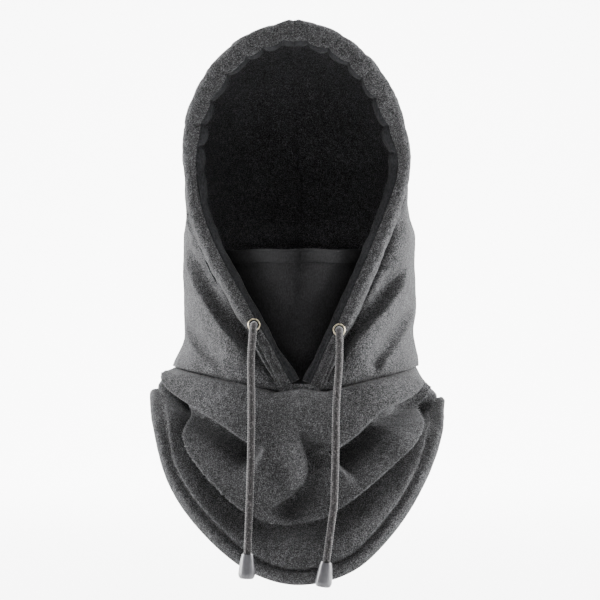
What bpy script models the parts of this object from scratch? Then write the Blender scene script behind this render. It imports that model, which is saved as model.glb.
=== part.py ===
"""Fleece balaclava: two-panel hood, drawcord rim, pull-down mask and neck bib.

Metres, +Z up. The wearer faces -Y and the wearer's left is +X. The origin is the point inside
the crown where the top of the head bears.
"""

import math

import bmesh
import bpy
import numpy as np
from mathutils import Matrix, Vector

# ---------------------------------------------------------------- driving dimensions
CROWN_TOP = 0.006            # height of the hood's outer surface above the head mount
ARCH_HALF_WIDTH = 0.092      # the hood's arch, seen from the front, outside the fleece
ARCH_HEIGHT = 0.110
ARCH_CENTRE_Z = CROWN_TOP - ARCH_HEIGHT
SIDE_Y = 0.005               # where the hood is widest, front to back
SIDE_HALF_WIDTH = {"right": 0.0935, "left": 0.0965}
NECK_FLARE = {"right": 0.011, "left": 0.003}    # extra half-width at the neck seam
CROWN_LEAN = 0.0036          # the crown leans this far to the wearer's right
BACK_DEPTH = 0.110           # from there to the back of the head, outside
NAPE_TUCK = 0.26             # share of that depth lost at the nape
NECK_FRONT_Z = -0.2845       # height of the neck seam at the front, the sides and the back
NECK_SIDE_Z = -0.2700
NECK_BACK_Z = -0.2520

FLEECE = 0.0026              # thickness of one layer of fleece
LINING = 0.0014              # thickness of the lining
GAP = 0.0004                 # clearance between layers and pieces that touch

TUNNEL_HALF_WIDTH = 0.0085   # the rolled rim, across its face
TUNNEL_HALF_DEPTH = 0.0070
TUNNEL_WALL = 0.0018
TUNNEL_SQUARENESS = 2.6      # exponent of the roll's section, 2 is an ellipse
TUNNEL_FROM, TUNNEL_TO = -150.0, 40.0     # degrees from the front, positive towards the face
FACING_FROM, FACING_TO = 43.0, 207.0
RIM_TOP_Y = -0.088
RIM_TEMPLE_Y = -0.070

EYELET_Z = {"right": -0.2364, "left": -0.2404}
EYELET_BORE = 0.0035
EYELET_BARREL = 0.0039
EYELET_FLANGE = 0.0051
WASHER_RADIUS = 0.0052
CORD_RADIUS = 0.00325
STUB_RADIUS = 0.0031

BELL_LENGTH = 0.0195
BELL_TOP_RADIUS = 0.0049
BELL_LOW_RADIUS = 0.0067
BELL_BORE = CORD_RADIUS + GAP
KNOT_RADIUS = 0.0042
KNOT_POCKET = KNOT_RADIUS + 0.0005

MASK_TOP_Z = -0.1748
MASK_LOW_Z = -0.2830
MASK_HALF_WIDTH = 0.080
MASK_CLOTH = 0.0016
MASK_HEM_HEIGHT = 0.0110
MASK_HEM_DEPTH = 0.0046

BIB_CLOTH = 0.0032
HEM_WIDTH = 0.0110
HEM_CLOTH = 0.0050
HEM_GAP = 0.0016             # clearance above the hem band, down the bib

SIDES = {"right": -1.0, "left": 1.0}

# Rim roll's centre below the temples, on each side, as (x, y, z): it runs in to the neck seam.
RIM_LOWER = {
    "right": ((-0.0805, -0.071, -0.142), (-0.0697, -0.078, -0.173),
              (-0.0390, -0.092, -0.229), (-0.0090, -0.098, -0.2838)),
    "left": ((0.0735, -0.071, -0.142), (0.0610, -0.078, -0.1748),
             (0.0365, -0.092, -0.230), (0.0130, -0.098, -0.2838)),
}

# The bib's lower edge as (turn, x, y, z): turn is -1 at the back, by way of the wearer's
# right shoulder at -0.5, 0 at the front and 1 at the back again.
BIB_EDGE = (
    (-1.00, 0.000, 0.117, -0.382), (-0.80, -0.064, 0.102, -0.362),
    (-0.62, -0.112, 0.055, -0.322), (-0.50, -0.1215, -0.004, -0.297),
    (-0.40, -0.1185, -0.048, -0.318), (-0.30, -0.1055, -0.079, -0.362),
    (-0.20, -0.0795, -0.100, -0.3985), (-0.10, -0.0425, -0.113, -0.429),
    (0.00, -0.0010, -0.118, -0.4412), (0.10, 0.0435, -0.114, -0.4305),
    (0.20, 0.0780, -0.1015, -0.399), (0.30, 0.1020, -0.081, -0.3625),
    (0.40, 0.1168, -0.052, -0.326), (0.50, 0.1200, -0.008, -0.3010),
    (0.62, 0.112, 0.053, -0.322), (0.80, 0.064, 0.102, -0.362),
    (1.00, 0.000, 0.117, -0.382),
)

# Each cord tail below its pivot, as (x, y, z); it ends in a straight run through its bell.
CORD_ROUTE = {
    "right": ((-0.0375, -0.1165, -0.262), (-0.0370, -0.1275, -0.298),
              (-0.0374, -0.1325, -0.340), (-0.0384, -0.1318, -0.372)),
    "left": ((0.0322, -0.1165, -0.265), (0.0297, -0.1275, -0.300),
             (0.0290, -0.1325, -0.342), (0.0280, -0.1318, -0.376)),
}
CORD_END = {"right": (-0.0406, -0.1296, -0.4270), "left": (0.0203, -0.1296, -0.4335)}


# ---------------------------------------------------------------- curves
def smooth_curve(knots, points, closed=False):
    """A cubic curve through points at the given knots, as a function of the knot value."""
    knots = np.asarray(knots, float)
    points = np.asarray(points, float)
    tangents = np.empty_like(points)
    tangents[1:-1] = (points[2:] - points[:-2]) / (knots[2:] - knots[:-2])[:, None]
    if closed:
        span = (knots[1] - knots[0]) + (knots[-1] - knots[-2])
        tangents[0] = tangents[-1] = (points[1] - points[-2]) / span
    else:
        tangents[0] = (points[1] - points[0]) / (knots[1] - knots[0])
        tangents[-1] = (points[-1] - points[-2]) / (knots[-1] - knots[-2])

    def curve(value):
        i = int(np.clip(np.searchsorted(knots, value, side="right") - 1, 0, len(knots) - 2))
        width = knots[i + 1] - knots[i]
        t = (value - knots[i]) / width
        return ((2 * t**3 - 3 * t**2 + 1) * points[i] + (t**3 - 2 * t**2 + t) * width * tangents[i]
                + (3 * t**2 - 2 * t**3) * points[i + 1] + (t**3 - t**2) * width * tangents[i + 1])

    return curve


def chord_knots(points):
    """Knots from 0 to 1 in proportion to the distance between points."""
    steps = np.linalg.norm(np.diff(np.asarray(points, float), axis=0), axis=1)
    return np.concatenate([[0.0], np.cumsum(steps)]) / steps.sum()


def smooth_step(low, high, value):
    t = min(max((value - low) / (high - low), 0.0), 1.0)
    return t * t * (3 - 2 * t)


# ---------------------------------------------------------------- the rim's path
def rim_curve(side):
    """Centre of the rolled rim from the crown (0) to the neck seam (1)."""
    points = []
    for degrees in range(0, 91, 15):
        turn = math.radians(degrees)
        x = SIDES[side] * (ARCH_HALF_WIDTH - TUNNEL_HALF_WIDTH) * math.sin(turn)
        y = RIM_TOP_Y + (RIM_TEMPLE_Y - RIM_TOP_Y) * (1 - math.cos(turn))
        z = ARCH_CENTRE_Z + (ARCH_HEIGHT - TUNNEL_HALF_WIDTH) * math.cos(turn)
        points.append((x, y, z))
    points += RIM_LOWER[side]
    return smooth_curve(chord_knots(points), points)


RIM = {side: rim_curve(side) for side in SIDES}


def rim_frame(side, along):
    """Centre, tangent, outward and front directions of the roll at a point along the rim."""
    step = 0.002
    low, high = max(along - step, 0.0), min(along + step, 1.0)
    tangent = RIM[side](high) - RIM[side](low)
    if along == 0.0:
        tangent[1:] = 0.0
    tangent /= np.linalg.norm(tangent)
    outward = np.array([-tangent[2], 0.0, tangent[0]]) * SIDES[side]
    if along == 0.0:
        outward = np.array([0.0, 0.0, 1.0])
    outward /= np.linalg.norm(outward)
    front = np.cross(tangent, outward)
    front /= np.linalg.norm(front)
    if front[1] > 0:
        front = -front
    return RIM[side](along), tangent, outward, front


def rim_at_height(side, z):
    """Place along the rim where its lower stretch passes a height."""
    low, high = 0.5, 1.0
    for _ in range(40):
        middle = (low + high) / 2
        if RIM[side](middle)[2] > z:
            low = middle
        else:
            high = middle
    return low


def lean(x, y, z):
    """The hood leans over to one side above the temples."""
    return np.array([x - CROWN_LEAN * smooth_step(-0.130, -0.065, z), y, z])


def roll_point(side, along, degrees, inset=0.0):
    """A point on the roll's section, measured from its front towards the face opening."""
    centre, _, outward, front = rim_frame(side, along)
    turn = math.radians(degrees)
    power = 2.0 / TUNNEL_SQUARENESS
    across = math.copysign(abs(math.sin(turn)) ** power, math.sin(turn))
    depth = math.copysign(abs(math.cos(turn)) ** power, math.cos(turn))
    return lean(*(centre - outward * across * (TUNNEL_HALF_WIDTH - inset)
                  + front * depth * (TUNNEL_HALF_DEPTH - inset)))


# ---------------------------------------------------------------- the hood's surface
FRONT_SHARE = 0.45           # part of a rib that lies in front of the hood's widest line


def hood_point(side, along, rib, inset=0.0):
    """Hood surface: along runs crown to neck, rib runs from the rim (0) to the back seam (1)."""
    sign = SIDES[side]
    centre, _, outward, _ = rim_frame(side, along)
    behind = smooth_step(-0.168, -0.112, centre[2])       # 1 behind the roll, 0 beside it
    swell = 4 * behind * (1 - behind) * 0.003
    lateral = ((TUNNEL_HALF_WIDTH - inset) * behind
               + (TUNNEL_HALF_WIDTH + GAP) * (1 - behind) + swell)
    back = ((TUNNEL_HALF_DEPTH + GAP) * behind
            + (inset - 0.3 * TUNNEL_HALF_DEPTH) * (1 - behind))
    start = centre + outward * lateral
    start[1] = centre[1] + back

    fall = min((start[2] - ARCH_CENTRE_Z) / (NECK_FRONT_Z - ARCH_CENTRE_Z), 1.0)
    side_z, back_z = start[2], ARCH_CENTRE_Z
    if fall > 0:
        side_z = ARCH_CENTRE_Z + fall * (NECK_SIDE_Z - ARCH_CENTRE_Z)
        back_z = ARCH_CENTRE_Z + fall * (NECK_BACK_Z - ARCH_CENTRE_Z)
    flare = NECK_FLARE[side] * max(fall - 0.6, 0.0) ** 2 / 0.16
    wide = np.array([sign * (SIDE_HALF_WIDTH[side] + flare - inset), side_z])
    wide = wide * (1 - behind) + start[[0, 2]] * behind
    depth = (BACK_DEPTH - inset) * (1 - NAPE_TUCK * max(fall, 0.0) ** 2)

    if rib <= FRONT_SHARE:
        turn = math.pi / 2 * rib / FRONT_SHARE
        flat = start[[0, 2]] + (wide - start[[0, 2]]) * math.sin(turn)
        y = SIDE_Y + (start[1] - SIDE_Y) * math.cos(turn)
    else:
        turn = math.pi / 2 * (rib - FRONT_SHARE) / (1 - FRONT_SHARE)
        hub = np.array([0.0, back_z])
        flat = hub + (wide - hub) * math.cos(turn)
        y = SIDE_Y + depth * math.sin(turn)
    x = sign * max(sign * flat[0], GAP / 2)
    return lean(x, y, flat[1])


# ---------------------------------------------------------------- the bib's surface
NECK_FRONT_SHARE = 0.12      # part of each half of the neck seam that lies under the rims


def neck_point(turn):
    """Neck seam, at the bib's top edge: turn is 0 at the front and -1 or 1 at the back."""
    side = "left" if turn >= 0 else "right"
    share = abs(turn)
    drop = np.array([0.0, 0.0, -0.0018])
    corner = hood_point(side, 1.0, 0.0, FLEECE / 2)
    if share < NECK_FRONT_SHARE:
        middle = np.array([0.002, corner[1] - 0.001, NECK_FRONT_Z])
        return middle + (corner - middle) * share / NECK_FRONT_SHARE + drop
    rib = (share - NECK_FRONT_SHARE) / (1 - NECK_FRONT_SHARE)
    point = hood_point(side, 1.0, rib, FLEECE / 2)
    if share == 1.0:
        point[0] = 0.0
    return point + drop


BIB_HEM_CURVE = smooth_curve([row[0] for row in BIB_EDGE], [row[1:] for row in BIB_EDGE], True)


def shoulder_drop(turn):
    """How closely the bib falls from the neck at each shoulder: 1 is straight down."""
    return (math.exp(-((turn - 0.5) / 0.13) ** 2)
            + 0.35 * math.exp(-((turn + 0.5) / 0.13) ** 2))


def bib_point(turn, fall):
    """Bib surface from the neck seam (fall 0) to the lower edge (fall 1), rolling outwards."""
    top, low = neck_point(turn), BIB_HEM_CURVE(turn)
    away = np.array([low[0] - top[0], low[1] - top[1], 0.0])
    away += np.array([top[0], top[1] - 0.01, 0.0]) * 0.5
    away /= np.linalg.norm(away)
    length = np.linalg.norm(low - top)
    drop = shoulder_drop(turn)
    first = top + away * (0.22 - 0.20 * drop) * length
    first[2] -= (0.12 + 0.16 * drop) * length
    second = low + np.array([0.0, 0.0, (0.36 - 0.24 * drop) * length])
    t = fall
    return ((1 - t)**3 * top + 3 * (1 - t)**2 * t * first
            + 3 * (1 - t) * t**2 * second + t**3 * low)


def fall_length(turn):
    """Length of the bib from the neck seam to its lower edge."""
    return sum(np.linalg.norm(bib_point(turn, (i + 1) / 12) - bib_point(turn, i / 12))
               for i in range(12))


def hem_share(turn):
    """The hem band's part of the fall, so that it is as wide as it should be square to its edge."""
    edge = BIB_HEM_CURVE(turn + 0.01) - BIB_HEM_CURVE(turn - 0.01)
    fall = BIB_HEM_CURVE(turn) - bib_point(turn, 0.95)
    cosine = np.dot(edge, fall) / (np.linalg.norm(edge) * np.linalg.norm(fall))
    return HEM_WIDTH / math.sqrt(1 - cosine ** 2) / fall_length(turn)


# ---------------------------------------------------------------- the mask's surface
MASK_PROFILE = smooth_curve((MASK_LOW_Z, -0.258, -0.235, -0.205, MASK_TOP_Z),
                            ((-0.0828,), (-0.0885,), (-0.0950,), (-0.1010,), (-0.1050,)))


def mask_point(x, z):
    """Mask cloth, stretched over nose and cheeks behind the rim."""
    bow = 0.060 * (abs(x) / 0.070) ** 1.6
    return np.array([x, MASK_PROFILE(z)[0] + bow, z])


# ---------------------------------------------------------------- making objects
def clear_scene():
    for obj in list(bpy.data.objects):
        bpy.data.objects.remove(obj, do_unlink=True)


def finish(name, colour, roughness, metallic=0.0):
    material = bpy.data.materials.new(name)
    material.use_nodes = True
    shader = material.node_tree.nodes["Principled BSDF"]
    shader.inputs["Base Color"].default_value = (*colour, 1.0)
    shader.inputs["Roughness"].default_value = roughness
    shader.inputs["Metallic"].default_value = metallic
    return material


def add_mesh(name, mesh_or_bm, material, parent=None):
    """Put a mesh into the scene as one named object with one material."""
    mesh = bpy.data.meshes.new(name)
    bmesh.ops.remove_doubles(mesh_or_bm, verts=mesh_or_bm.verts, dist=1e-6)
    bmesh.ops.recalc_face_normals(mesh_or_bm, faces=mesh_or_bm.faces)
    mesh_or_bm.to_mesh(mesh)
    mesh_or_bm.free()
    mesh.shade_smooth()
    mesh.set_sharp_from_angle(angle=math.radians(35))
    mesh.materials.append(material)
    obj = bpy.data.objects.new(name, mesh)
    bpy.context.scene.collection.objects.link(obj)
    if parent is not None:
        obj.parent = parent
        obj.location = -parent.location
    return obj


def add_shell(name, outer, inner, material, parent=None):
    """A closed sheet of cloth between two grids of points."""
    rows, cols = outer.shape[:2]
    bm = bmesh.new()
    layers = [[[bm.verts.new(grid[i, j]) for j in range(cols)] for i in range(rows)]
              for grid in (outer, inner)]

    def face(*corners):
        places = {tuple(round(c, 7) for c in corner.co) for corner in corners}
        if len(places) > 2:
            bm.faces.new(corners)

    for i in range(rows - 1):
        for j in range(cols - 1):
            for layer in layers:
                face(layer[i][j], layer[i][j + 1], layer[i + 1][j + 1], layer[i + 1][j])
    border = ([(0, j) for j in range(cols)] + [(i, cols - 1) for i in range(1, rows)]
              + [(rows - 1, j) for j in range(cols - 2, -1, -1)]
              + [(i, 0) for i in range(rows - 2, -1, -1)])
    for (a, b), (c, d) in zip(border[:-1], border[1:]):
        face(layers[0][a][b], layers[0][c][d], layers[1][c][d], layers[1][a][b])
    return add_mesh(name, bm, material, parent)


def grid_of(function, first, second):
    return np.array([[function(a, b) for b in second] for a in first])


def offset_grid(grid, distance, hub):
    """The same grid moved along its normals, away from the hub where distance is positive."""
    along = np.gradient(grid, axis=0)
    across = np.gradient(grid, axis=1)
    normal = np.cross(along, across)
    normal /= np.linalg.norm(normal, axis=2, keepdims=True)
    facing = np.sign(np.einsum("ijk,ijk->ij", normal, grid - np.asarray(hub)))
    majority = 1.0 if facing.sum() >= 0 else -1.0
    return grid + normal * majority * distance


def add_turned(name, profile, sides, material, matrix, parent=None):
    """A ring or cup turned about Z from a closed profile of (radius, height) points."""
    bm = bmesh.new()
    rings = []
    for step in range(sides):
        turn = 2 * math.pi * step / sides
        rings.append([bm.verts.new((r * math.cos(turn), r * math.sin(turn), h))
                      for r, h in profile])
    for step in range(sides):
        here, there = rings[step], rings[(step + 1) % sides]
        for k in range(len(profile)):
            n = (k + 1) % len(profile)
            if profile[k][0] < 1e-9 and profile[n][0] < 1e-9:
                continue
            bm.faces.new((here[k], there[k], there[n], here[n]))
    obj = add_mesh(name, bm, material)
    if parent is not None:
        obj.parent = parent
        matrix = Matrix.Translation(-parent.location) @ matrix
    obj.matrix_local = matrix
    return obj


def add_tube(name, points, radius, material, parent=None):
    """A cord as a curve with a round bevel and filled caps."""
    curve = bpy.data.curves.new(name, "CURVE")
    curve.dimensions = "3D"
    curve.bevel_depth = radius
    curve.bevel_resolution = 2
    curve.use_fill_caps = True
    spline = curve.splines.new("POLY")
    spline.points.add(len(points) - 1)
    for target, point in zip(spline.points, points):
        target.co = (*point, 1.0)
    curve.materials.append(material)
    obj = bpy.data.objects.new(name, curve)
    bpy.context.scene.collection.objects.link(obj)
    if parent is not None:
        obj.parent = parent
        obj.location = -parent.location
    return obj


def add_pivot(name, location, parent=None):
    """An empty on a joint's axis, which the moving pieces hang from."""
    empty = bpy.data.objects.new(name, None)
    empty.empty_display_size = 0.01
    bpy.context.scene.collection.objects.link(empty)
    empty.location = location
    if parent is not None:
        empty.location = Vector(location) - parent.location
        empty.parent = parent
    return empty


# ---------------------------------------------------------------- the hood
def ribs(count):
    return np.linspace(0.0, 1.0, count)


def make_hood(fleece, lining):
    for side in SIDES:
        layers = [grid_of(lambda a, b: hood_point(side, a, b, depth), ribs(14), ribs(12))
                  for depth in (0.0, FLEECE, FLEECE + GAP, FLEECE + GAP + LINING)]
        add_shell(f"hood_{side}_panel", layers[0], layers[1], fleece)
        add_shell(f"hood_{side}_lining", layers[2], layers[3], lining)


def make_rim(fleece, facing):
    """Rolled tunnel round the face: fleece over the front and outside, facing on the inside."""
    stations = np.linspace(0.0, 1.0, 19)
    tunnels = {}
    for side in SIDES:
        for name, material, first, last in (
                (f"rim_{side}_tunnel", fleece, TUNNEL_FROM, TUNNEL_TO),
                (f"rim_{side}_facing", facing, FACING_FROM, FACING_TO)):
            turns = np.linspace(first, last, 8)
            outer = grid_of(lambda a, b: roll_point(side, a, b), stations, turns)
            inner = grid_of(lambda a, b: roll_point(side, a, b, TUNNEL_WALL), stations, turns)
            for grid in (outer, inner):
                grid[0, :, 0] = SIDES[side] * GAP / 2
            tunnels[name] = add_shell(name, outer, inner, material)
    return tunnels


def eyelet_matrix(side):
    """Frame at the roll's crest, Z pointing out of the cloth."""
    along = rim_at_height(side, EYELET_Z[side])
    centre, _, outward, front = rim_frame(side, along)
    crest = centre + front * TUNNEL_HALF_DEPTH
    rotation = Vector(front).to_track_quat("Z", "Y").to_matrix().to_4x4()
    return Matrix.Translation(Vector(crest)) @ rotation


def make_eyelets(tunnels, brass):
    for side in SIDES:
        frame = eyelet_matrix(side)
        flange = [(EYELET_BORE, -0.0042), (EYELET_BARREL, -0.0042), (EYELET_BARREL, 0.0003),
                  (EYELET_FLANGE, 0.0003), (EYELET_FLANGE, 0.0007), (0.0046, 0.0012),
                  (0.0040, 0.0012), (EYELET_BORE, 0.0006)]
        add_turned(f"eyelet_{side}", flange, 20, brass, frame)
        washer = [(EYELET_BARREL + GAP, -0.0038), (WASHER_RADIUS, -0.0038),
                  (WASHER_RADIUS, -0.0032), (EYELET_BARREL + GAP, -0.0032)]
        add_turned(f"eyelet_washer_{side}", washer, 20, brass, frame)

        hole = [(0.0, -0.006), (EYELET_BARREL + GAP, -0.006), (EYELET_BARREL + GAP, 0.004),
                (0.0, 0.004)]
        cutter = add_turned(f"eyelet_hole_{side}", hole, 20, brass, frame)
        cutter.hide_render = True
        cutter.display_type = "WIRE"
        cut = tunnels[f"rim_{side}_tunnel"].modifiers.new("eyelet_hole", "BOOLEAN")
        cut.operation = "DIFFERENCE"
        cut.object = cutter


# ---------------------------------------------------------------- cords and their ends
def stub_ends(side):
    """Inner and outer end of the stretch of cord that goes through an eyelet."""
    frame = eyelet_matrix(side)
    return frame @ Vector((0, 0, -0.0095)), frame @ Vector((0, 0, 0.0018))


def cord_pivot(side):
    """Where a tail bends down out of its eyelet."""
    return eyelet_matrix(side) @ Vector((0, 0, 0.0018 + GAP + CORD_RADIUS))


def tail_points(side):
    """Centre of a cord tail from its pivot to the knot, every two or three diameters."""
    pivot = cord_pivot(side)
    route = [tuple(pivot), *CORD_ROUTE[side]]
    curve = smooth_curve(chord_knots(route), route)
    bent = [curve(t) for t in np.linspace(0.0, 1.0, 12)]
    end, last = np.array(CORD_END[side]), np.array(CORD_ROUTE[side][-1])
    straight = [last + (end - last) * share for share in (0.33, 0.66, 1.0)]
    return bent + straight


def bell_matrix(side):
    """Frame at a bell's upper end, Z pointing up its cord."""
    last, end = Vector(CORD_ROUTE[side][-1]), Vector(CORD_END[side])
    up = (last - end).normalized()
    rotation = up.to_track_quat("Z", "Y").to_matrix().to_4x4()
    return Matrix.Translation(end + up * 0.0115) @ rotation


def make_cords(cord_cloth, plastic):
    for side in SIDES:
        inner, outer = stub_ends(side)
        add_tube(f"cord_{side}_through_eyelet", [inner, (inner + outer) / 2, outer],
                 STUB_RADIUS, cord_cloth)
        pivot = add_pivot(f"cord_{side}_pivot", cord_pivot(side))
        add_tube(f"cord_{side}_tail", tail_points(side), CORD_RADIUS, cord_cloth, pivot)

        frame = bell_matrix(side)
        length, top, low = -BELL_LENGTH, BELL_TOP_RADIUS, BELL_LOW_RADIUS
        bell = [(BELL_BORE, 0.0), (top - 0.0004, 0.0), (top, -0.0005), (low, length + 0.0035),
                (low - 0.0005, length + 0.0014), (low - 0.0016, length), (KNOT_POCKET, length),
                (KNOT_POCKET, -0.0108), (BELL_BORE, -0.0098)]
        add_turned(f"cord_end_{side}", bell, 18, plastic, frame, pivot)
        knot_height = -0.0115 - GAP - KNOT_RADIUS
        knot = [(KNOT_RADIUS * math.sin(math.radians(a)),
                 knot_height + KNOT_RADIUS * 0.9 * math.cos(math.radians(a)))
                for a in (0, 30, 60, 90, 120, 150, 180)]
        add_turned(f"cord_knot_{side}", knot, 10, cord_cloth, frame, pivot)


def make_drawcord(cord_cloth):
    """The hidden cord that runs inside the rim from one eyelet over the crown to the other."""
    path = []
    for side in ("right", "left"):
        stop = rim_at_height(side, EYELET_Z[side] + 0.0055)
        half = [lean(*RIM[side](along)) for along in np.linspace(stop, 0.0, 17)]
        path += half if side == "right" else half[-2::-1]
    add_tube("drawcord_in_rim", path, STUB_RADIUS, cord_cloth)


# ---------------------------------------------------------------- the mask
def make_mask(black, elastic):
    pull = add_pivot("mask_pull", (0.0, MASK_PROFILE(MASK_TOP_Z)[0], MASK_TOP_Z))
    across = np.linspace(-1.0, 1.0, 15)
    heights = np.linspace(MASK_LOW_Z, MASK_TOP_Z - MASK_HEM_HEIGHT - GAP, 8)

    def width_at(z):
        """Half width: the cloth narrows to the collar below the chin."""
        return MASK_HALF_WIDTH - 0.012 * smooth_step(-0.20, MASK_LOW_Z, z)

    cloth = grid_of(lambda z, share: mask_point(share * width_at(z), z), heights, across)
    back = cloth + np.array([0.0, MASK_CLOTH, 0.0])
    add_shell("mask_panel", cloth, back, black)

    half = MASK_HEM_DEPTH / 2
    wall = 0.0012
    low = -MASK_HEM_HEIGHT
    # Folded hem, open below: down the front, over the top and down the back, then inside again.
    fold = [(-half, low), (-half, -0.002), (-half * 0.5, 0.0), (half * 0.5, 0.0), (half, -0.002),
            (half, low), (half - wall, low), (half - wall, -0.0025), (-half + wall, -0.0025),
            (-half + wall, low)]
    band = [(-0.0007, -0.0095), (-0.0007, -0.0032), (0.0007, -0.0032), (0.0007, -0.0095)]
    for name, section, material, reach in (("mask_top_hem", fold, black, 1.0),
                                           ("mask_elastic", band, elastic, 0.98)):
        bm = bmesh.new()
        rings = []
        for share in across:
            base = mask_point(share * MASK_HALF_WIDTH * reach, MASK_TOP_Z)
            rings.append([bm.verts.new(base + np.array([0.0, dy, dz])) for dy, dz in section])
        count = len(section)
        for here, there in zip(rings[:-1], rings[1:]):
            for k in range(count):
                n = (k + 1) % count
                bm.faces.new((here[k], there[k], there[n], here[n]))
        bm.faces.new(rings[0])
        bm.faces.new(list(reversed(rings[-1])))
        add_mesh(name, bm, material, pull)


# ---------------------------------------------------------------- the bib
def make_bib(fleece):
    hub = (0.0, 0.0, -0.36)
    for name, turns in (("front", np.linspace(-0.5, 0.5, 23)),
                        ("back", np.linspace(0.5, 1.5, 17))):
        wrapped = [((turn + 1) % 2) - 1 for turn in turns]
        if name == "back":
            wrapped[0] += 0.003
            wrapped[-1] -= 0.003
        falls = []
        for turn in wrapped:
            start = 1 - hem_share(turn)
            cloth_end = start - HEM_GAP / fall_length(turn)
            falls.append([*np.linspace(0.0, cloth_end, 8), start, (1 + start) / 2, 1.0])
        whole = np.array([[bib_point(turn, fall) for fall in row]
                          for turn, row in zip(wrapped, falls)])
        proud = (HEM_CLOTH - BIB_CLOTH) / 2
        levels = [offset_grid(whole, distance, hub)
                  for distance in (0.0, -BIB_CLOTH, proud, -BIB_CLOTH - proud)]
        add_shell(f"bib_{name}", levels[0][:, :8], levels[1][:, :8], fleece)
        add_shell(f"bib_hem_{name}", levels[2][:, 8:], levels[3][:, 8:], fleece)


def make_balaclava():
    clear_scene()
    fleece = finish("grey_fleece", (0.105, 0.107, 0.110), 0.95)
    lining = finish("lining_fleece", (0.040, 0.041, 0.043), 0.95)
    facing = finish("smooth_fleece", (0.036, 0.038, 0.040), 0.90)
    black = finish("black_stretch_cloth", (0.012, 0.012, 0.013), 0.85)
    elastic = finish("elastic_band", (0.030, 0.030, 0.030), 0.80)
    brass = finish("antique_brass", (0.42, 0.31, 0.17), 0.38, 1.0)
    cord_cloth = finish("braided_cord", (0.085, 0.080, 0.084), 0.85)
    plastic = finish("matte_grey_plastic", (0.190, 0.188, 0.205), 0.50)

    make_hood(fleece, lining)
    tunnels = make_rim(fleece, facing)
    make_eyelets(tunnels, brass)
    make_cords(cord_cloth, plastic)
    make_drawcord(cord_cloth)
    make_mask(black, elastic)
    make_bib(fleece)


make_balaclava()
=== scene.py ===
"""The looks of the fleece balaclava: pile, folds, gathers, stitches, braid and brass."""

import math

import bmesh
import bpy
import numpy as np
from mathutils import Matrix, Vector


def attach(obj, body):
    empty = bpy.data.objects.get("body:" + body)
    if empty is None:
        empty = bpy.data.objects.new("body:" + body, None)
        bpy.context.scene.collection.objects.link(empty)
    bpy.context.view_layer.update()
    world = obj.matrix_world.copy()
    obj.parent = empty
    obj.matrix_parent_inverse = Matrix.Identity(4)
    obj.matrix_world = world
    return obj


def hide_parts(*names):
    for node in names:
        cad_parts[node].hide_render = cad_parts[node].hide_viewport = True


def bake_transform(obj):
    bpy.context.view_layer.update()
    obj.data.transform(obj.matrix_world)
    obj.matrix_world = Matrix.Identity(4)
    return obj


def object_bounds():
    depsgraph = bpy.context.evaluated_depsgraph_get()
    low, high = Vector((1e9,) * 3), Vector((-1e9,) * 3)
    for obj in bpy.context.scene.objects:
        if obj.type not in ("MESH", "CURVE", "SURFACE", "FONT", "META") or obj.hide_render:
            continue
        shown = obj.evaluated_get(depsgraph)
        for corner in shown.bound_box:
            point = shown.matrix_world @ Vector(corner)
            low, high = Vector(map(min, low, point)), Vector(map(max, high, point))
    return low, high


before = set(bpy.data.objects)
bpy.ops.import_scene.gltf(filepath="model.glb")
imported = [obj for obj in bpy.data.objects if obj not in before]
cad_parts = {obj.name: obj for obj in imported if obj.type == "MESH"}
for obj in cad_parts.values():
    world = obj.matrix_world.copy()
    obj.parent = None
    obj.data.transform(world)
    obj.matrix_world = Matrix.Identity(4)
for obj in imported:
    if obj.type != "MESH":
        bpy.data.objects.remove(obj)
CAD_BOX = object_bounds()

# ---------------------------------------------------------------- shared dimensions (metres)
CROWN_TOP = 0.006
ARCH_HALF_WIDTH = 0.092
ARCH_HEIGHT = 0.110
ARCH_CENTRE_Z = CROWN_TOP - ARCH_HEIGHT
SIDE_Y = 0.005
SIDE_HALF_WIDTH = {"right": 0.0935, "left": 0.0965}
NECK_FLARE = {"right": 0.011, "left": 0.003}
CROWN_LEAN = 0.0036
BACK_DEPTH = 0.110
NAPE_TUCK = 0.26
NECK_FRONT_Z = -0.2845
NECK_SIDE_Z = -0.2700
NECK_BACK_Z = -0.2520
FLEECE = 0.0026
LINING = 0.0014
GAP = 0.0004
ROLL_HALF_WIDTH = 0.0085
ROLL_HALF_DEPTH = 0.0070
ROLL_WALL = 0.0018
ROLL_SQUARENESS = 2.6
ROLL_SPLIT = 2.0             # degrees from the roll's front where fleece meets facing
ROLL_TIP = math.radians(20)
CROWN_PEAK = 0.0026          # the roll stands up a little at its crown seam
RIM_TOP_Y = -0.088
RIM_TEMPLE_Y = -0.070
EYELET_Z = {"right": -0.2364, "left": -0.2404}
EYELET_HEIGHT = 0.0018       # the flange's crest above the roll
CORD_RADIUS = 0.00325
BELL_LENGTH = 0.0195
BELL_NECK_RADIUS = 0.0048
BELL_FOOT_RADIUS = 0.0067
BELL_DROP = 0.0115           # the cord's end below its bell's top
MASK_TOP_Z = -0.1748
MASK_LOW_Z = -0.2830
MASK_HALF_WIDTH = 0.080
MASK_HEM_HEIGHT = 0.0110
MASK_CLOTH = 0.0014
BIB_CLOTH = 0.0032
HEM_WIDTH = 0.0110
SEAM_WIDTH = 0.0017          # how far beside a seam the cloth dips
SIDES = {"right": -1.0, "left": 1.0}

# Rim roll's centre below the temples, on each side, as (x, y, z).
RIM_LOWER = {
    "right": ((-0.0805, -0.071, -0.142), (-0.0697, -0.078, -0.173),
              (-0.0390, -0.092, -0.229), (-0.0090, -0.098, -0.2838)),
    "left": ((0.0735, -0.071, -0.142), (0.0610, -0.078, -0.1748),
             (0.0365, -0.092, -0.230), (0.0130, -0.098, -0.2838)),
}
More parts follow.
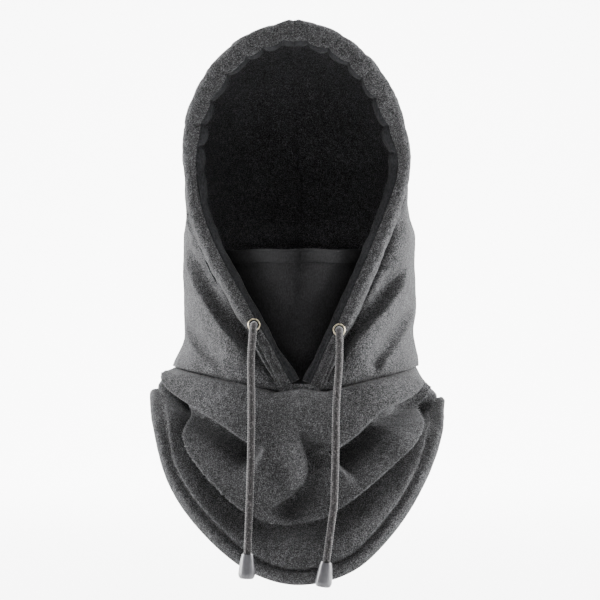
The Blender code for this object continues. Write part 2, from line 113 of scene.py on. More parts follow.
# The bib's lower edge once round as (turn, x, y, z): back, right shoulder, front, left, back.
BIB_EDGE = (
    (-1.00, 0.000, 0.117, -0.382), (-0.80, -0.064, 0.102, -0.362),
    (-0.62, -0.112, 0.055, -0.322), (-0.50, -0.1215, -0.004, -0.297),
    (-0.40, -0.1185, -0.048, -0.318), (-0.30, -0.1055, -0.079, -0.362),
    (-0.20, -0.0795, -0.100, -0.3985), (-0.10, -0.0425, -0.113, -0.429),
    (0.00, -0.0010, -0.118, -0.4412), (0.10, 0.0435, -0.114, -0.4305),
    (0.20, 0.0780, -0.1015, -0.399), (0.30, 0.1020, -0.081, -0.3625),
    (0.40, 0.1168, -0.052, -0.326), (0.50, 0.1200, -0.008, -0.3010),
    (0.62, 0.112, 0.053, -0.322), (0.80, 0.064, 0.102, -0.362),
    (1.00, 0.000, 0.117, -0.382),
)
# Each cord tail below its pivot; it ends in a straight run through its bell.
CORD_ROUTE = {
    "right": ((-0.0375, -0.1165, -0.262), (-0.0370, -0.1275, -0.298),
              (-0.0374, -0.1325, -0.340), (-0.0384, -0.1318, -0.372)),
    "left": ((0.0322, -0.1165, -0.265), (0.0297, -0.1275, -0.300),
             (0.0290, -0.1325, -0.342), (0.0280, -0.1318, -0.376)),
}
CORD_END = {"right": (-0.0406, -0.1296, -0.4270), "left": (0.0203, -0.1296, -0.4335)}


# ---------------------------------------------------------------- curves and small maths
def smooth_curve(knots, points, closed=False):
    """A cubic curve through points at the given knots; takes an array of knot values."""
    knots, points = np.asarray(knots, float), np.asarray(points, float)
    tangents = np.empty_like(points)
    tangents[1:-1] = (points[2:] - points[:-2]) / (knots[2:] - knots[:-2])[:, None]
    if closed:
        span = (knots[1] - knots[0]) + (knots[-1] - knots[-2])
        tangents[0] = tangents[-1] = (points[1] - points[-2]) / span
    else:
        tangents[0] = (points[1] - points[0]) / (knots[1] - knots[0])
        tangents[-1] = (points[-1] - points[-2]) / (knots[-1] - knots[-2])

    def curve(value):
        value = np.atleast_1d(np.asarray(value, float))
        i = np.clip(np.searchsorted(knots, value, side="right") - 1, 0, len(knots) - 2)
        width = (knots[i + 1] - knots[i])[:, None]
        t = (value - knots[i])[:, None] / width
        return ((2 * t**3 - 3 * t**2 + 1) * points[i] + (t**3 - 2 * t**2 + t) * width * tangents[i]
                + (3 * t**2 - 2 * t**3) * points[i + 1] + (t**3 - t**2) * width * tangents[i + 1])

    return curve


def chord_knots(points):
    steps = np.linalg.norm(np.diff(np.asarray(points, float), axis=0), axis=1)
    return np.concatenate([[0.0], np.cumsum(steps)]) / steps.sum()


def through(points):
    """A smooth curve through points, run by a share from 0 to 1."""
    return smooth_curve(chord_knots(points), points)


def ease(low, high, value):
    """Rises smoothly from 0 at low to 1 at high; low may be the larger."""
    t = np.clip((value - low) / (high - low), 0.0, 1.0)
    return t * t * (3 - 2 * t)


def hump(value, centre, width):
    """1 at the centre, falling away over the width on both sides."""
    return np.exp(-((value - centre) / width) ** 2)


def unit(vectors):
    return vectors / np.maximum(np.linalg.norm(vectors, axis=-1, keepdims=True), 1e-12)


def soft_noise(places, size, seed, octaves=3):
    """Smooth, repeatable waves in space, about size metres apart, between -1 and 1."""
    rng = np.random.default_rng(seed)
    total = np.zeros(places.shape[:-1])
    weight = 0.0
    for octave in range(octaves):
        scale = 2 * math.pi / size * 1.9 ** octave
        for _ in range(5):
            direction = unit(rng.normal(size=3))
            phase = rng.uniform(0, 2 * math.pi)
            total += 0.6 ** octave * np.sin(places @ direction * scale + phase)
        weight += 0.6 ** octave
    return total / (weight * 2.6)


# ---------------------------------------------------------------- the rim's path
def rim_path(side):
    """One side's roll centre: a quarter ellipse from the crown, then RIM_LOWER's points."""
    points = []
    for degrees in range(0, 91, 15):
        turn = math.radians(degrees)
        points.append((SIDES[side] * (ARCH_HALF_WIDTH - ROLL_HALF_WIDTH) * math.sin(turn),
                       RIM_TOP_Y + (RIM_TEMPLE_Y - RIM_TOP_Y) * (1 - math.cos(turn)),
                       ARCH_CENTRE_Z + (ARCH_HEIGHT - ROLL_HALF_WIDTH) * math.cos(turn)))
    return through(points + list(RIM_LOWER[side]))


RIM = {side: rim_path(side) for side in SIDES}


def rim_length(side):
    return np.linalg.norm(np.diff(RIM[side](np.linspace(0, 1, 400)), axis=0), axis=1).sum()


def rim_frames(side, along):
    """Centres, outward and front directions of the roll along the rim."""
    along = np.asarray(along, float)
    step = 0.002
    tangent = RIM[side](np.minimum(along + step, 1)) - RIM[side](np.maximum(along - step, 0))
    crown = along < 1e-9
    tangent[crown, 1:] = 0.0
    tangent = unit(tangent)
    outward = np.stack([-tangent[:, 2], 0 * along, tangent[:, 0]], axis=1) * SIDES[side]
    outward = unit(outward)
    front = unit(np.cross(tangent, outward))
    front *= np.where(front[:, 1:2] > 0, -1.0, 1.0)
    return RIM[side](along), outward, front


def rim_at_height(side, z):
    """The share of the rim's length where its lower half passes a height."""
    along = np.linspace(0.5, 1.0, 4001)
    heights = RIM[side](along)[:, 2]
    return float(np.interp(-z, -heights, along))


def lean(grid):
    """The hood leans over to one side above the temples."""
    grid = np.array(grid, float)
    grid[..., 0] -= CROWN_LEAN * ease(-0.130, -0.065, grid[..., 2])
    return grid


# ---------------------------------------------------------------- the hood's surface
FRONT_SHARE = 0.45


def hood_surface(side, along, rib, inset=0.0, tuck=0.0):
    """Hood surface on a grid: along runs crown to neck, rib from the rim to the back seam."""
    sign = SIDES[side]
    centre, outward, _ = rim_frames(side, along)
    behind = ease(-0.168, -0.112, centre[:, 2])
    swell = 4 * behind * (1 - behind) * 0.003
    lateral = ((ROLL_HALF_WIDTH - inset) * behind
               + (ROLL_HALF_WIDTH + GAP - tuck) * (1 - behind) + swell)
    back = ((ROLL_HALF_DEPTH + GAP - tuck) * behind
            + (inset - 0.3 * ROLL_HALF_DEPTH) * (1 - behind))
    start = centre + outward * lateral[:, None]
    start[:, 1] = centre[:, 1] + back

    fall = np.minimum((start[:, 2] - ARCH_CENTRE_Z) / (NECK_FRONT_Z - ARCH_CENTRE_Z), 1.0)
    low = np.maximum(fall, 0.0)
    side_z = np.where(fall > 0, ARCH_CENTRE_Z + low * (NECK_SIDE_Z - ARCH_CENTRE_Z), start[:, 2])
    back_z = ARCH_CENTRE_Z + low * (NECK_BACK_Z - ARCH_CENTRE_Z)
    flare = NECK_FLARE[side] * np.maximum(fall - 0.6, 0.0) ** 2 / 0.16
    wide_x = sign * (SIDE_HALF_WIDTH[side] + flare - inset) * (1 - behind) + start[:, 0] * behind
    wide_z = side_z * (1 - behind) + start[:, 2] * behind
    depth = (BACK_DEPTH - inset) * (1 - NAPE_TUCK * low ** 2)

    rib = np.asarray(rib, float)[None, :]
    in_front = rib <= FRONT_SHARE
    turn = np.where(in_front, math.pi / 2 * rib / FRONT_SHARE,
                    math.pi / 2 * (rib - FRONT_SHARE) / (1 - FRONT_SHARE))
    sin, cos = np.sin(turn), np.cos(turn)

    def mix(front, back_part):
        return np.where(in_front, front, back_part)

    x = mix(start[:, :1] + (wide_x[:, None] - start[:, :1]) * sin, wide_x[:, None] * cos)
    z = mix(start[:, 2:] + (wide_z[:, None] - start[:, 2:]) * sin,
            back_z[:, None] + (wide_z - back_z)[:, None] * cos)
    y = mix(SIDE_Y + (start[:, 1:2] - SIDE_Y) * cos, SIDE_Y + depth[:, None] * sin)
    x = sign * np.maximum(sign * x, 0.0)
    return np.stack([x, y, z], axis=2)


# ---------------------------------------------------------------- the bib's surface
NECK_FRONT_SHARE = 0.12
BIB_HEM = smooth_curve([row[0] for row in BIB_EDGE], [row[1:] for row in BIB_EDGE], True)


def neck_line(turn):
    """The neck seam at the bib's top edge, for an array of turns."""
    points = np.zeros((len(turn), 3))
    for side, pick in (("left", turn >= 0), ("right", turn < 0)):
        share = np.abs(turn[pick])
        rib = np.maximum((share - NECK_FRONT_SHARE) / (1 - NECK_FRONT_SHARE), 0.0)
        line = hood_surface(side, [1.0], rib, FLEECE / 2)[0]
        corner = hood_surface(side, [1.0], [0.0], FLEECE / 2)[0, 0]
        middle = np.array([0.002, corner[1] - 0.001, NECK_FRONT_Z])
        mix = np.minimum(share / NECK_FRONT_SHARE, 1.0)[:, None]
        line = np.where(share[:, None] < NECK_FRONT_SHARE, middle + (corner - middle) * mix, line)
        points[pick] = line
    points[:, 2] -= 0.0005
    return points


def hem_start(turn):
    """Where the hem band starts down the fall, so that it has its width square to the edge."""
    turn = (turn + 1) % 2 - 1
    edge = BIB_HEM(turn + 0.01) - BIB_HEM(turn - 0.01)
    line = bib_surface(turn, np.linspace(0, 1, 41))
    fall = line[:, -1] - line[:, -3]
    cosine = np.einsum("ij,ij->i", unit(edge), unit(fall))
    length = np.linalg.norm(np.diff(line, axis=1), axis=2).sum(axis=1)
    return 1 - HEM_WIDTH / np.sqrt(1 - cosine ** 2) / length


def shoulder_drop(turn):
    """How closely the bib falls from the neck at each shoulder: 1 is straight down."""
    return np.exp(-((turn - 0.5) / 0.13) ** 2) + 0.35 * np.exp(-((turn + 0.5) / 0.13) ** 2)


def bib_surface(turn, fall):
    """Bib surface on a grid: turn goes round the neck, fall from the seam to the lower edge."""
    turn = np.asarray(turn, float)
    wrapped = (turn + 1) % 2 - 1
    top, low = neck_line(wrapped), BIB_HEM(wrapped)
    away = low - top
    away[:, 2] = 0.0
    away += np.stack([top[:, 0], top[:, 1] - 0.01, 0 * turn], axis=1) * 0.5
    away = unit(away)
    length = np.linalg.norm(low - top, axis=1)[:, None]
    drop = shoulder_drop(wrapped)
    first = top + away * (0.22 - 0.20 * drop)[:, None] * length
    first[:, 2] -= (0.12 + 0.16 * drop) * length[:, 0]
    second = low.copy()
    second[:, 2] += (0.36 - 0.24 * drop) * length[:, 0]
    t = np.asarray(fall, float)
    if t.ndim == 1:
        t = np.broadcast_to(t, (len(turn), len(t)))
    t = t[:, :, None]
    top, low, first, second = (p[:, None, :] for p in (top, low, first, second))
    return (1 - t)**3 * top + 3 * (1 - t)**2 * t * first + 3 * (1 - t) * t**2 * second + t**3 * low


MASK_PROFILE = smooth_curve((MASK_LOW_Z, -0.258, -0.235, -0.205, MASK_TOP_Z),
                            ((-0.0828,), (-0.0885,), (-0.0950,), (-0.1010,), (-0.1050,)))


# ---------------------------------------------------------------- mesh making
def grid_normals(grid, hub):
    """Normals of a grid of points, turned away from the hub."""
    normal = unit(np.cross(np.gradient(grid, axis=0), np.gradient(grid, axis=1)))
    facing = np.einsum("ijk,ijk->ij", normal, grid - np.asarray(hub))
    return normal if facing.sum() >= 0 else -normal


def mesh_from(name, verts, faces, material, weld=1e-6, sharp=None):
    bm = bmesh.new()
    mesh = bpy.data.meshes.new(name)
    mesh.from_pydata([tuple(v) for v in verts], [], faces)
    bm.from_mesh(mesh)
    if weld:
        bmesh.ops.remove_doubles(bm, verts=bm.verts, dist=weld)
        bmesh.ops.dissolve_degenerate(bm, edges=bm.edges, dist=weld)
    bmesh.ops.recalc_face_normals(bm, faces=bm.faces)
    bm.to_mesh(mesh)
    bm.free()
    mesh.shade_smooth()
    mesh.materials.append(material)
    obj = bpy.data.objects.new(name, mesh)
    bpy.context.scene.collection.objects.link(obj)
    if sharp:
        mesh.set_sharp_from_angle(angle=math.radians(sharp))
    return obj


def cloth(name, outer, inner, material):
    """A closed sheet between two grids of points, with edges all round."""
    rows, cols = outer.shape[:2]
    verts = np.concatenate([outer.reshape(-1, 3), inner.reshape(-1, 3)])
    index = np.arange(rows * cols).reshape(rows, cols)
    a, b = index[:-1, :-1].ravel(), index[:-1, 1:].ravel()
    c, d = index[1:, 1:].ravel(), index[1:, :-1].ravel()
    shift = rows * cols
    faces = np.stack([a, b, c, d], axis=1).tolist()
    faces += (np.stack([d, c, b, a], axis=1) + shift).tolist()
    border = np.concatenate([index[0, :], index[1:, -1], index[-1, -2::-1], index[-2::-1, 0]])
    for p, q in zip(border[:-1].tolist(), border[1:].tolist()):
        faces.append((q, p, p + shift, q + shift))
    return mesh_from(name, verts, faces, material)


def turned(name, profile, sides, material, matrix, sharp=40):
    """A ring or cup turned about its local Z from a closed profile of (radius, height)."""
    profile = np.asarray(profile, float)
    turns = np.linspace(0, 2 * math.pi, sides, endpoint=False)
    verts = np.stack([np.outer(np.cos(turns), profile[:, 0]), np.outer(np.sin(turns), profile[:, 0]),
                      np.broadcast_to(profile[:, 1], (sides, len(profile)))], axis=2).reshape(-1, 3)
    count = len(profile)
    faces = []
    for s in range(sides):
        for k in range(count):
            n = (k + 1) % count
            if profile[k, 0] < 1e-9 and profile[n, 0] < 1e-9:
                continue
            t = (s + 1) % sides
            faces.append((s * count + k, t * count + k, t * count + n, s * count + n))
    placed = [matrix @ Vector(v) for v in verts]
    return mesh_from(name, placed, faces, material, sharp=sharp)


def tube_faces(rings, around, start=0, capped=True):
    """Faces of a tube whose rings are numbered from start, with a flat cap at each end."""
    index = np.arange(start, start + rings * around).reshape(rings, around)
    beside = np.roll(index, -1, axis=1)
    faces = np.stack([index[:-1].ravel(), beside[:-1].ravel(), beside[1:].ravel(),
                      index[1:].ravel()], axis=1).tolist()
    if capped:
        faces += [index[0][::-1].tolist(), index[-1].tolist()]
    return faces


def run_along(points):
    """Distance from the first point, at each point of a line."""
    steps = np.linalg.norm(np.diff(points, axis=0), axis=1)
    return np.concatenate([[0.0], np.cumsum(steps)])


def run_across(grid, axis):
    """Distance from a grid's first row or column, at each of its points."""
    first = np.take(grid, [0], axis=axis)
    return np.cumsum(np.linalg.norm(np.diff(grid, axis=axis, prepend=first), axis=2), axis=axis)


def belongs(piece, body, slot, *nodes):
    """The body a piece moves with, and the CAD nodes that it stands for. The material slot is not
    used.
    """
    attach(piece, body)
    if nodes:
        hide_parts(*nodes)


def tube_frames(points):
    """Two directions square to a path along it, turning as little as they can."""
    tangent = unit(np.gradient(points, axis=0))
    side = np.cross(tangent[0], (0.0, 1.0, 0.0))
    if np.linalg.norm(side) < 1e-3:
        side = np.cross(tangent[0], (1.0, 0.0, 0.0))
    sides = []
    for direction in tangent:
        side = side - direction * np.dot(side, direction)
        side = side / np.linalg.norm(side)
        sides.append(side)
    sides = np.array(sides)
    return sides, np.cross(tangent, sides)


def round_profile(points, radius, steps=4):
    """Rounds the corners of a closed profile with small arcs."""
    out = []
    points = [np.array(p, float) for p in points]
    for i, corner in enumerate(points):
        before, after = points[i - 1] - corner, points[(i + 1) % len(points)] - corner
        room = min(radius, 0.45 * np.linalg.norm(before), 0.45 * np.linalg.norm(after))
        first = corner + before / max(np.linalg.norm(before), 1e-9) * room
        last = corner + after / max(np.linalg.norm(after), 1e-9) * room
        for step in range(steps + 1):
            t = step / steps
            out.append((1 - t)**2 * first + 2 * (1 - t) * t * corner + t**2 * last)
    return out


# ---------------------------------------------------------------- materials
def new_material(name):
    material = bpy.data.materials.new(name)
    material.use_nodes = True
    nodes = material.node_tree.nodes
    return material, nodes, material.node_tree.links, nodes["Principled BSDF"]


def object_noise(nodes, links, scale, detail=3.0, roughness=0.6, stretch=None):
    coords = nodes.new("ShaderNodeTexCoord")
    noise = nodes.new("ShaderNodeTexNoise")
    noise.inputs["Scale"].default_value = scale
    noise.inputs["Detail"].default_value = detail
    noise.inputs["Roughness"].default_value = roughness
    if stretch is None:
        links.new(coords.outputs["Object"], noise.inputs["Vector"])
    else:
        mapping = nodes.new("ShaderNodeMapping")
        mapping.inputs["Scale"].default_value = stretch
        links.new(coords.outputs["Object"], mapping.inputs["Vector"])
        links.new(mapping.outputs["Vector"], noise.inputs["Vector"])
    return noise.outputs["Fac"]


def ramp(nodes, links, value, stops):
    node = nodes.new("ShaderNodeValToRGB")
    elements = node.color_ramp.elements
    while len(elements) < len(stops):
        elements.new(0.5)
    for element, (place, colour) in zip(elements, stops):
        element.position = place
        element.color = (*colour, 1.0)
    links.new(value, node.inputs["Fac"])
    return node.outputs["Color"]


def blend_colours(nodes, links, factor, first, second, mode="MIX"):
    node = nodes.new("ShaderNodeMix")
    node.data_type = "RGBA"
    node.blend_type = mode
    sockets = {s.identifier: s for s in node.inputs}
    for socket, value in ((sockets["Factor_Float"], factor), (sockets["A_Color"], first),
                          (sockets["B_Color"], second)):
        if isinstance(value, (int, float)):
            socket.default_value = value
        elif isinstance(value, tuple):
            socket.default_value = (*value, 1.0)
        else:
            links.new(value, socket)
    return next(s for s in node.outputs if s.identifier == "Result_Color")


def bump(nodes, links, height, strength, distance, before=None):
    node = nodes.new("ShaderNodeBump")
    node.inputs["Strength"].default_value = strength
    node.inputs["Distance"].default_value = distance
    links.new(height, node.inputs["Height"])
    if before is not None:
        links.new(before, node.inputs["Normal"])
    return node.outputs["Normal"]


def grey(value, blue=None):
    return (value, value, value if blue is None else blue)


def vary_roughness(nodes, links, shader, value, low, high):
    spread = nodes.new("ShaderNodeMapRange")
    spread.inputs["To Min"].default_value = low
    spread.inputs["To Max"].default_value = high
    links.new(value, spread.inputs["Value"])
    links.new(spread.outputs["Result"], shader.inputs["Roughness"])


def finish_cloth(shader, roughness, specular, sheen, sheen_roughness):
    shader.inputs["Roughness"].default_value = roughness
    shader.inputs["Specular IOR Level"].default_value = specular
    shader.inputs["Sheen Weight"].default_value = sheen
    shader.inputs["Sheen Roughness"].default_value = sheen_roughness


def fleece_material(name, dark, middle, light, pile=0.9, sheen=0.35):
    """Brushed knit: dark and light fibre clumps, broad brushing, deep soft pile."""
    material, nodes, links, shader = new_material(name)
    grain = object_noise(nodes, links, 1250.0, 3.0, 0.62)
    speckle = ramp(nodes, links, grain, ((0.36, dark), (0.50, middle), (0.66, light)))
    clumps = object_noise(nodes, links, 260.0, 2.0, 0.5)
    patch = ramp(nodes, links, clumps, ((0.35, grey(0.82)), (0.68, grey(1.14, 1.15))))
    brushed = object_noise(nodes, links, 24.0, 3.0, 0.55)
    broad = ramp(nodes, links, brushed, ((0.30, grey(0.88)), (0.72, grey(1.10, 1.11))))
    colour = blend_colours(nodes, links, 1.0, speckle, patch, "MULTIPLY")
    colour = blend_colours(nodes, links, 1.0, colour, broad, "MULTIPLY")
    links.new(colour, shader.inputs["Base Color"])
    normal = bump(nodes, links, clumps, 0.55 * pile, 0.0016)
    normal = bump(nodes, links, grain, 0.85 * pile, 0.0009, normal)
    links.new(normal, shader.inputs["Normal"])
    finish_cloth(shader, 0.97, 0.06, sheen, 0.32)
    shader.inputs["Sheen Tint"].default_value = (0.82, 0.83, 0.85, 1.0)
    return material


def knit_material(name, dark, light, scale, sheen):
    """Fine smooth knit: close rows of loops with faint streaks."""
    material, nodes, links, shader = new_material(name)
    loops = object_noise(nodes, links, scale, 2.0, 0.5, (1.0, 1.0, 0.55))
    streaks = object_noise(nodes, links, 60.0, 3.0, 0.6)
    colour = ramp(nodes, links, loops, ((0.34, dark), (0.68, light)))
    shade = ramp(nodes, links, streaks, ((0.30, grey(0.84)), (0.72, grey(1.12))))
    links.new(blend_colours(nodes, links, 1.0, colour, shade, "MULTIPLY"),
              shader.inputs["Base Color"])
    normal = bump(nodes, links, loops, 0.45, 0.0005)
    links.new(normal, shader.inputs["Normal"])
    finish_cloth(shader, 0.92, 0.08, sheen, 0.5)
    return material


def braid_material(name):
    """Braided cord: dark yarn with pale flecks and a little fuzz."""
    material, nodes, links, shader = new_material(name)
    flecks = object_noise(nodes, links, 950.0, 2.0, 0.6, (1.0, 1.0, 0.7))
    colour = ramp(nodes, links, flecks, ((0.40, (0.002, 0.0018, 0.0018)),
                                         (0.55, (0.014, 0.0128, 0.0132)),
                                         (0.70, (0.072, 0.066, 0.068))))
    links.new(colour, shader.inputs["Base Color"])
    links.new(bump(nodes, links, flecks, 0.6, 0.0005), shader.inputs["Normal"])
    finish_cloth(shader, 0.85, 0.25, 0.35, 0.4)
    return material


def brass_material(name):
    """Antique brass: bright metal with brown stains and fine scratches."""
    material, nodes, links, shader = new_material(name)
    stains = object_noise(nodes, links, 700.0, 4.0, 0.6)
    colour = ramp(nodes, links, stains, ((0.30, (0.20, 0.15, 0.09)), (0.56, (0.70, 0.62, 0.45))))
    links.new(colour, shader.inputs["Base Color"])
    vary_roughness(nodes, links, shader, stains, 0.22, 0.48)
    scratches = object_noise(nodes, links, 2500.0, 2.0, 0.5, (1.0, 1.0, 0.2))
    links.new(bump(nodes, links, scratches, 0.2, 0.0001), shader.inputs["Normal"])
    shader.inputs["Metallic"].default_value = 1.0
    return material


def plastic_material(name):
    """Moulded satin plastic with a fine grain and an uneven tone."""
    material, nodes, links, shader = new_material(name)
    tone = object_noise(nodes, links, 160.0, 3.0, 0.6)
    colour = ramp(nodes, links, tone, ((0.30, (0.026, 0.0255, 0.029)), (0.75, (0.044, 0.043, 0.048))))
    links.new(colour, shader.inputs["Base Color"])
    grain = object_noise(nodes, links, 3200.0, 2.0, 0.5)
    links.new(bump(nodes, links, grain, 0.25, 0.00012), shader.inputs["Normal"])
    vary_roughness(nodes, links, shader, tone, 0.28, 0.42)
    shader.inputs["Specular IOR Level"].default_value = 0.5
    return material


FLEECE_LOOK = fleece_material("grey_fleece", grey(0.0060, 0.0062), grey(0.0275, 0.0280),
                              grey(0.084, 0.086), sheen=0.05)
# darker lining fleece: its tone is partly the lining's own colour and partly painted shade inside the
# hood
LINING_AND_SHADE_LOOK = fleece_material("lining_fleece", grey(0.004, 0.0042), grey(0.018, 0.019),
                              grey(0.055, 0.058), 0.7, 0.04)
# dark facing knit: its tone is partly the facing's own colour and partly painted shade on the inner
# side of the roll
FACING_AND_SHADE_LOOK = knit_material("smooth_facing_and_painted_shade", (0.006, 0.0062, 0.0068), (0.017, 0.0174, 0.0188),
                            900, 0.02)
MASK_LOOK = knit_material("black_stretch_cloth", grey(0.0028, 0.0030), grey(0.0085, 0.0090),
                          1100, 0.01)
ELASTIC_LOOK = knit_material("elastic_band", grey(0.012), grey(0.05), 1300, 0.1)
THREAD_LOOK = braid_material("sewing_thread")
CORD_LOOK = braid_material("braided_cord")
BRASS_LOOK = brass_material("antique_brass")
PLASTIC_LOOK = plastic_material("satin_grey_plastic")


# ---------------------------------------------------------------- camera
CAMERA_DISTANCE, WIDTH_IN_VIEW = 2.6, 0.480    # in front of the rim, and what is seen there
CAMERA_X, CAMERA_LIFT, RIM_FRONT_Y = 0.0012, 0.0022, -0.085


def place_camera():
    """Level with the middle of the object, far back on a long lens."""
    low, high = (Vector(corner) for corner in CAD_BOX)
    middle_z = (low.z + high.z) / 2 + CAMERA_LIFT
    data = bpy.data.cameras.new("camera")
    data.sensor_width = 36.0
    data.lens = data.sensor_width * CAMERA_DISTANCE / WIDTH_IN_VIEW
    camera = bpy.data.objects.new("camera", data)
    camera.location = (CAMERA_X, RIM_FRONT_Y - CAMERA_DISTANCE, middle_z)
    camera.rotation_euler = (math.radians(90), 0, 0)
    bpy.context.scene.collection.objects.link(camera)
    bpy.context.scene.camera = camera


# ---------------------------------------------------------------- cords, their ends and knots
def eyelet_matrix(side):
    """Frame at the roll's crest, Z pointing out of the cloth."""
    along = rim_at_height(side, EYELET_Z[side])
    centre, _, front = (part[0] for part in rim_frames(side, np.array([along])))
    crest = centre + front * ROLL_HALF_DEPTH
    rotation = Vector(front).to_track_quat("Z", "Y").to_matrix().to_4x4()
    return Matrix.Translation(Vector(crest)) @ rotation


def cord_pivot(side):
    return eyelet_matrix(side) @ Vector((0, 0, EYELET_HEIGHT + GAP + CORD_RADIUS))


def bell_matrix(side):
    last, end = Vector(CORD_ROUTE[side][-1]), Vector(CORD_END[side])
    up = (last - end).normalized()
    rotation = up.to_track_quat("Z", "Y").to_matrix().to_4x4()
    return Matrix.Translation(end + up * BELL_DROP) @ rotation


YARNS, BRAID_PITCH = 6, 0.0105


def braid(name, path, phase=0.0, around=28):
    """A braided round cord along a path: two sets of yarns that cross over each other."""
    run = run_along(path) + phase
    side, other = tube_frames(path)
    turn = np.linspace(0, 2 * math.pi, around, endpoint=False)
    s, a = run[:, None] * 2 * math.pi / BRAID_PITCH, turn[None, :]
    one = np.cos((a * YARNS + s * YARNS) / 2) ** 2
    two = np.cos((a * YARNS - s * YARNS) / 2) ** 2
    over = 0.5 + 0.5 * np.sin(a * YARNS) * np.sin(s * YARNS)
    lift = 0.00042 * (one ** 3 * over + two ** 3 * (1 - over)) - 0.00012
    radius = (CORD_RADIUS * 0.86 + lift)[:, :, None]
    rings = path[:, None, :] + radius * (np.cos(a)[:, :, None] * side[:, None, :] * 1.06
                                         + np.sin(a)[:, :, None] * other[:, None, :] * 0.92)
    verts = np.concatenate([rings.reshape(-1, 3), path[:1], path[-1:]])
    rows = len(path)
    faces = tube_faces(rows, around, capped=False)
    low, first, last = (rows - 1) * around, rows * around, rows * around + 1
    for k in range(around):
        n = (k + 1) % around
        faces.append((n, k, first))
        faces.append((low + k, low + n, last))
    return mesh_from(name, verts, faces, CORD_LOOK, weld=0)


TAIL_SPACING = 0.00045
# Places along the tail, counted in steps of TAIL_SPACING.
OVER_LIP, BLEND_END, BEND_END, BELL_RUN = 6, 22, 26, 60


def tail_path(side):
    """A tail's centre line in even steps, from its pivot to inside its bell, and its length."""
    pivot = np.array(cord_pivot(side))
    route = [tuple(pivot), *CORD_ROUTE[side]]
    bent = through(route)(np.linspace(0, 1, 60))
    end = np.array(CORD_END[side])
    straight = bent[-1] + (end - bent[-1]) * np.linspace(0, 1, 20)[1:, None]
    path = np.concatenate([bent, straight])
    length = run_along(path)[-1]
    share = np.linspace(0, 1, int(length / TAIL_SPACING))
    return np.stack([np.interp(share, chord_knots(path), path[:, k]) for k in range(3)],
                    axis=1), length


def make_cords():
    for side in SIDES:
        path, length = tail_path(side)
        tail = braid(f"cord_{side}_tail_braid", path)
        frame_at_bell = bell_matrix(side)

        # the short stretch from inside the tunnel, over the eyelet's lip and into the tail
        lip = eyelet_matrix(side)
        inside = lip @ Vector((0, 0, -0.0075))
        mouth = lip @ Vector((0, 0, 0.0010))
        mouth.z -= 0.0003
        over = path[OVER_LIP] + (0, 0.0002, 0.0014)
        route = [tuple(inside), tuple(mouth), tuple(over), tuple(path[BEND_END])]
        bend_path = through(route)(np.linspace(0, 1, 60))
        top = braid(f"cord_{side}_eyelet_bend", bend_path)
        pivot = cord_pivot(side)
        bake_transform(top)
        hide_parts(f"cord_{side}_through_eyelet")

        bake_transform(tail)
        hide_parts(f"cord_{side}_tail")

        bell = make_bell(side, frame_at_bell)
        knot = make_knot(side, frame_at_bell)


def make_bell(side, matrix):
    """Moulded cord end: a flared cup with a round foot and an open pocket for the knot."""
    neck, low, foot = BELL_NECK_RADIUS, BELL_FOOT_RADIUS, -BELL_LENGTH
    flare, bore = foot + 0.0040, CORD_RADIUS + 0.0002
    outline = [(0.0041, -0.0035), (0.0043, -0.0004), (0.0045, 0.0), (0.0047, -0.0004)]
    for step in range(9):
        share = step / 8
        outline.append((neck + (low - neck) * share ** 0.8, -0.0012 - 0.0143 * share))
    for step in range(1, 9):
        turn = math.radians(90 * step / 8)
        outline.append((low - 0.0022 * (1 - math.cos(turn)), flare - 0.0040 * math.sin(turn)))
    outline += [(0.0043, foot + 0.0001), (0.0041, foot + 0.0006), (0.0042, -0.0112),
                (bore, -0.0100), (bore, -0.0040)]
    bell = turned(f"cord_{side}_bell", outline, 56, PLASTIC_LOOK, matrix, sharp=50)
    belongs(bell, f"cord_{side}_end", "cord_end", f"cord_end_{side}")
    return bell


def make_knot(side, matrix):
    """An overhand knot pulled tight: a small ball of cord with two crossing turns."""
    turns = np.linspace(0, 2 * math.pi, 90)
    middle = -BELL_DROP - GAP - 0.0042
    reach = (1 + 0.35 * np.cos(3 * turns / 2)) * 0.0017
    loop = np.stack([np.cos(turns) * reach, np.sin(turns) * reach,
                     middle + 0.0012 * np.sin(3 * turns / 2)], axis=1)
    placed = np.array([tuple(matrix @ Vector(p)) for p in loop])
    one, two = tube_frames(placed)
    sides = 14
    around = np.linspace(0, 2 * math.pi, sides, endpoint=False)
    rings = placed[:, None, :] + 0.0019 * (np.cos(around)[None, :, None] * one[:, None, :]
                                           + np.sin(around)[None, :, None] * two[:, None, :])
    faces = tube_faces(len(turns), sides)
    knot = mesh_from(f"cord_{side}_knot_ball", rings.reshape(-1, 3), faces, CORD_LOOK)
    belongs(knot, f"cord_{side}_knot", "cord", f"cord_knot_{side}")
    return knot


# ---------------------------------------------------------------- folds
FOLD_SAMPLES = 120
OVERHANG_REACH = 0.006       # how far back from a fold's lip the cloth slides over it


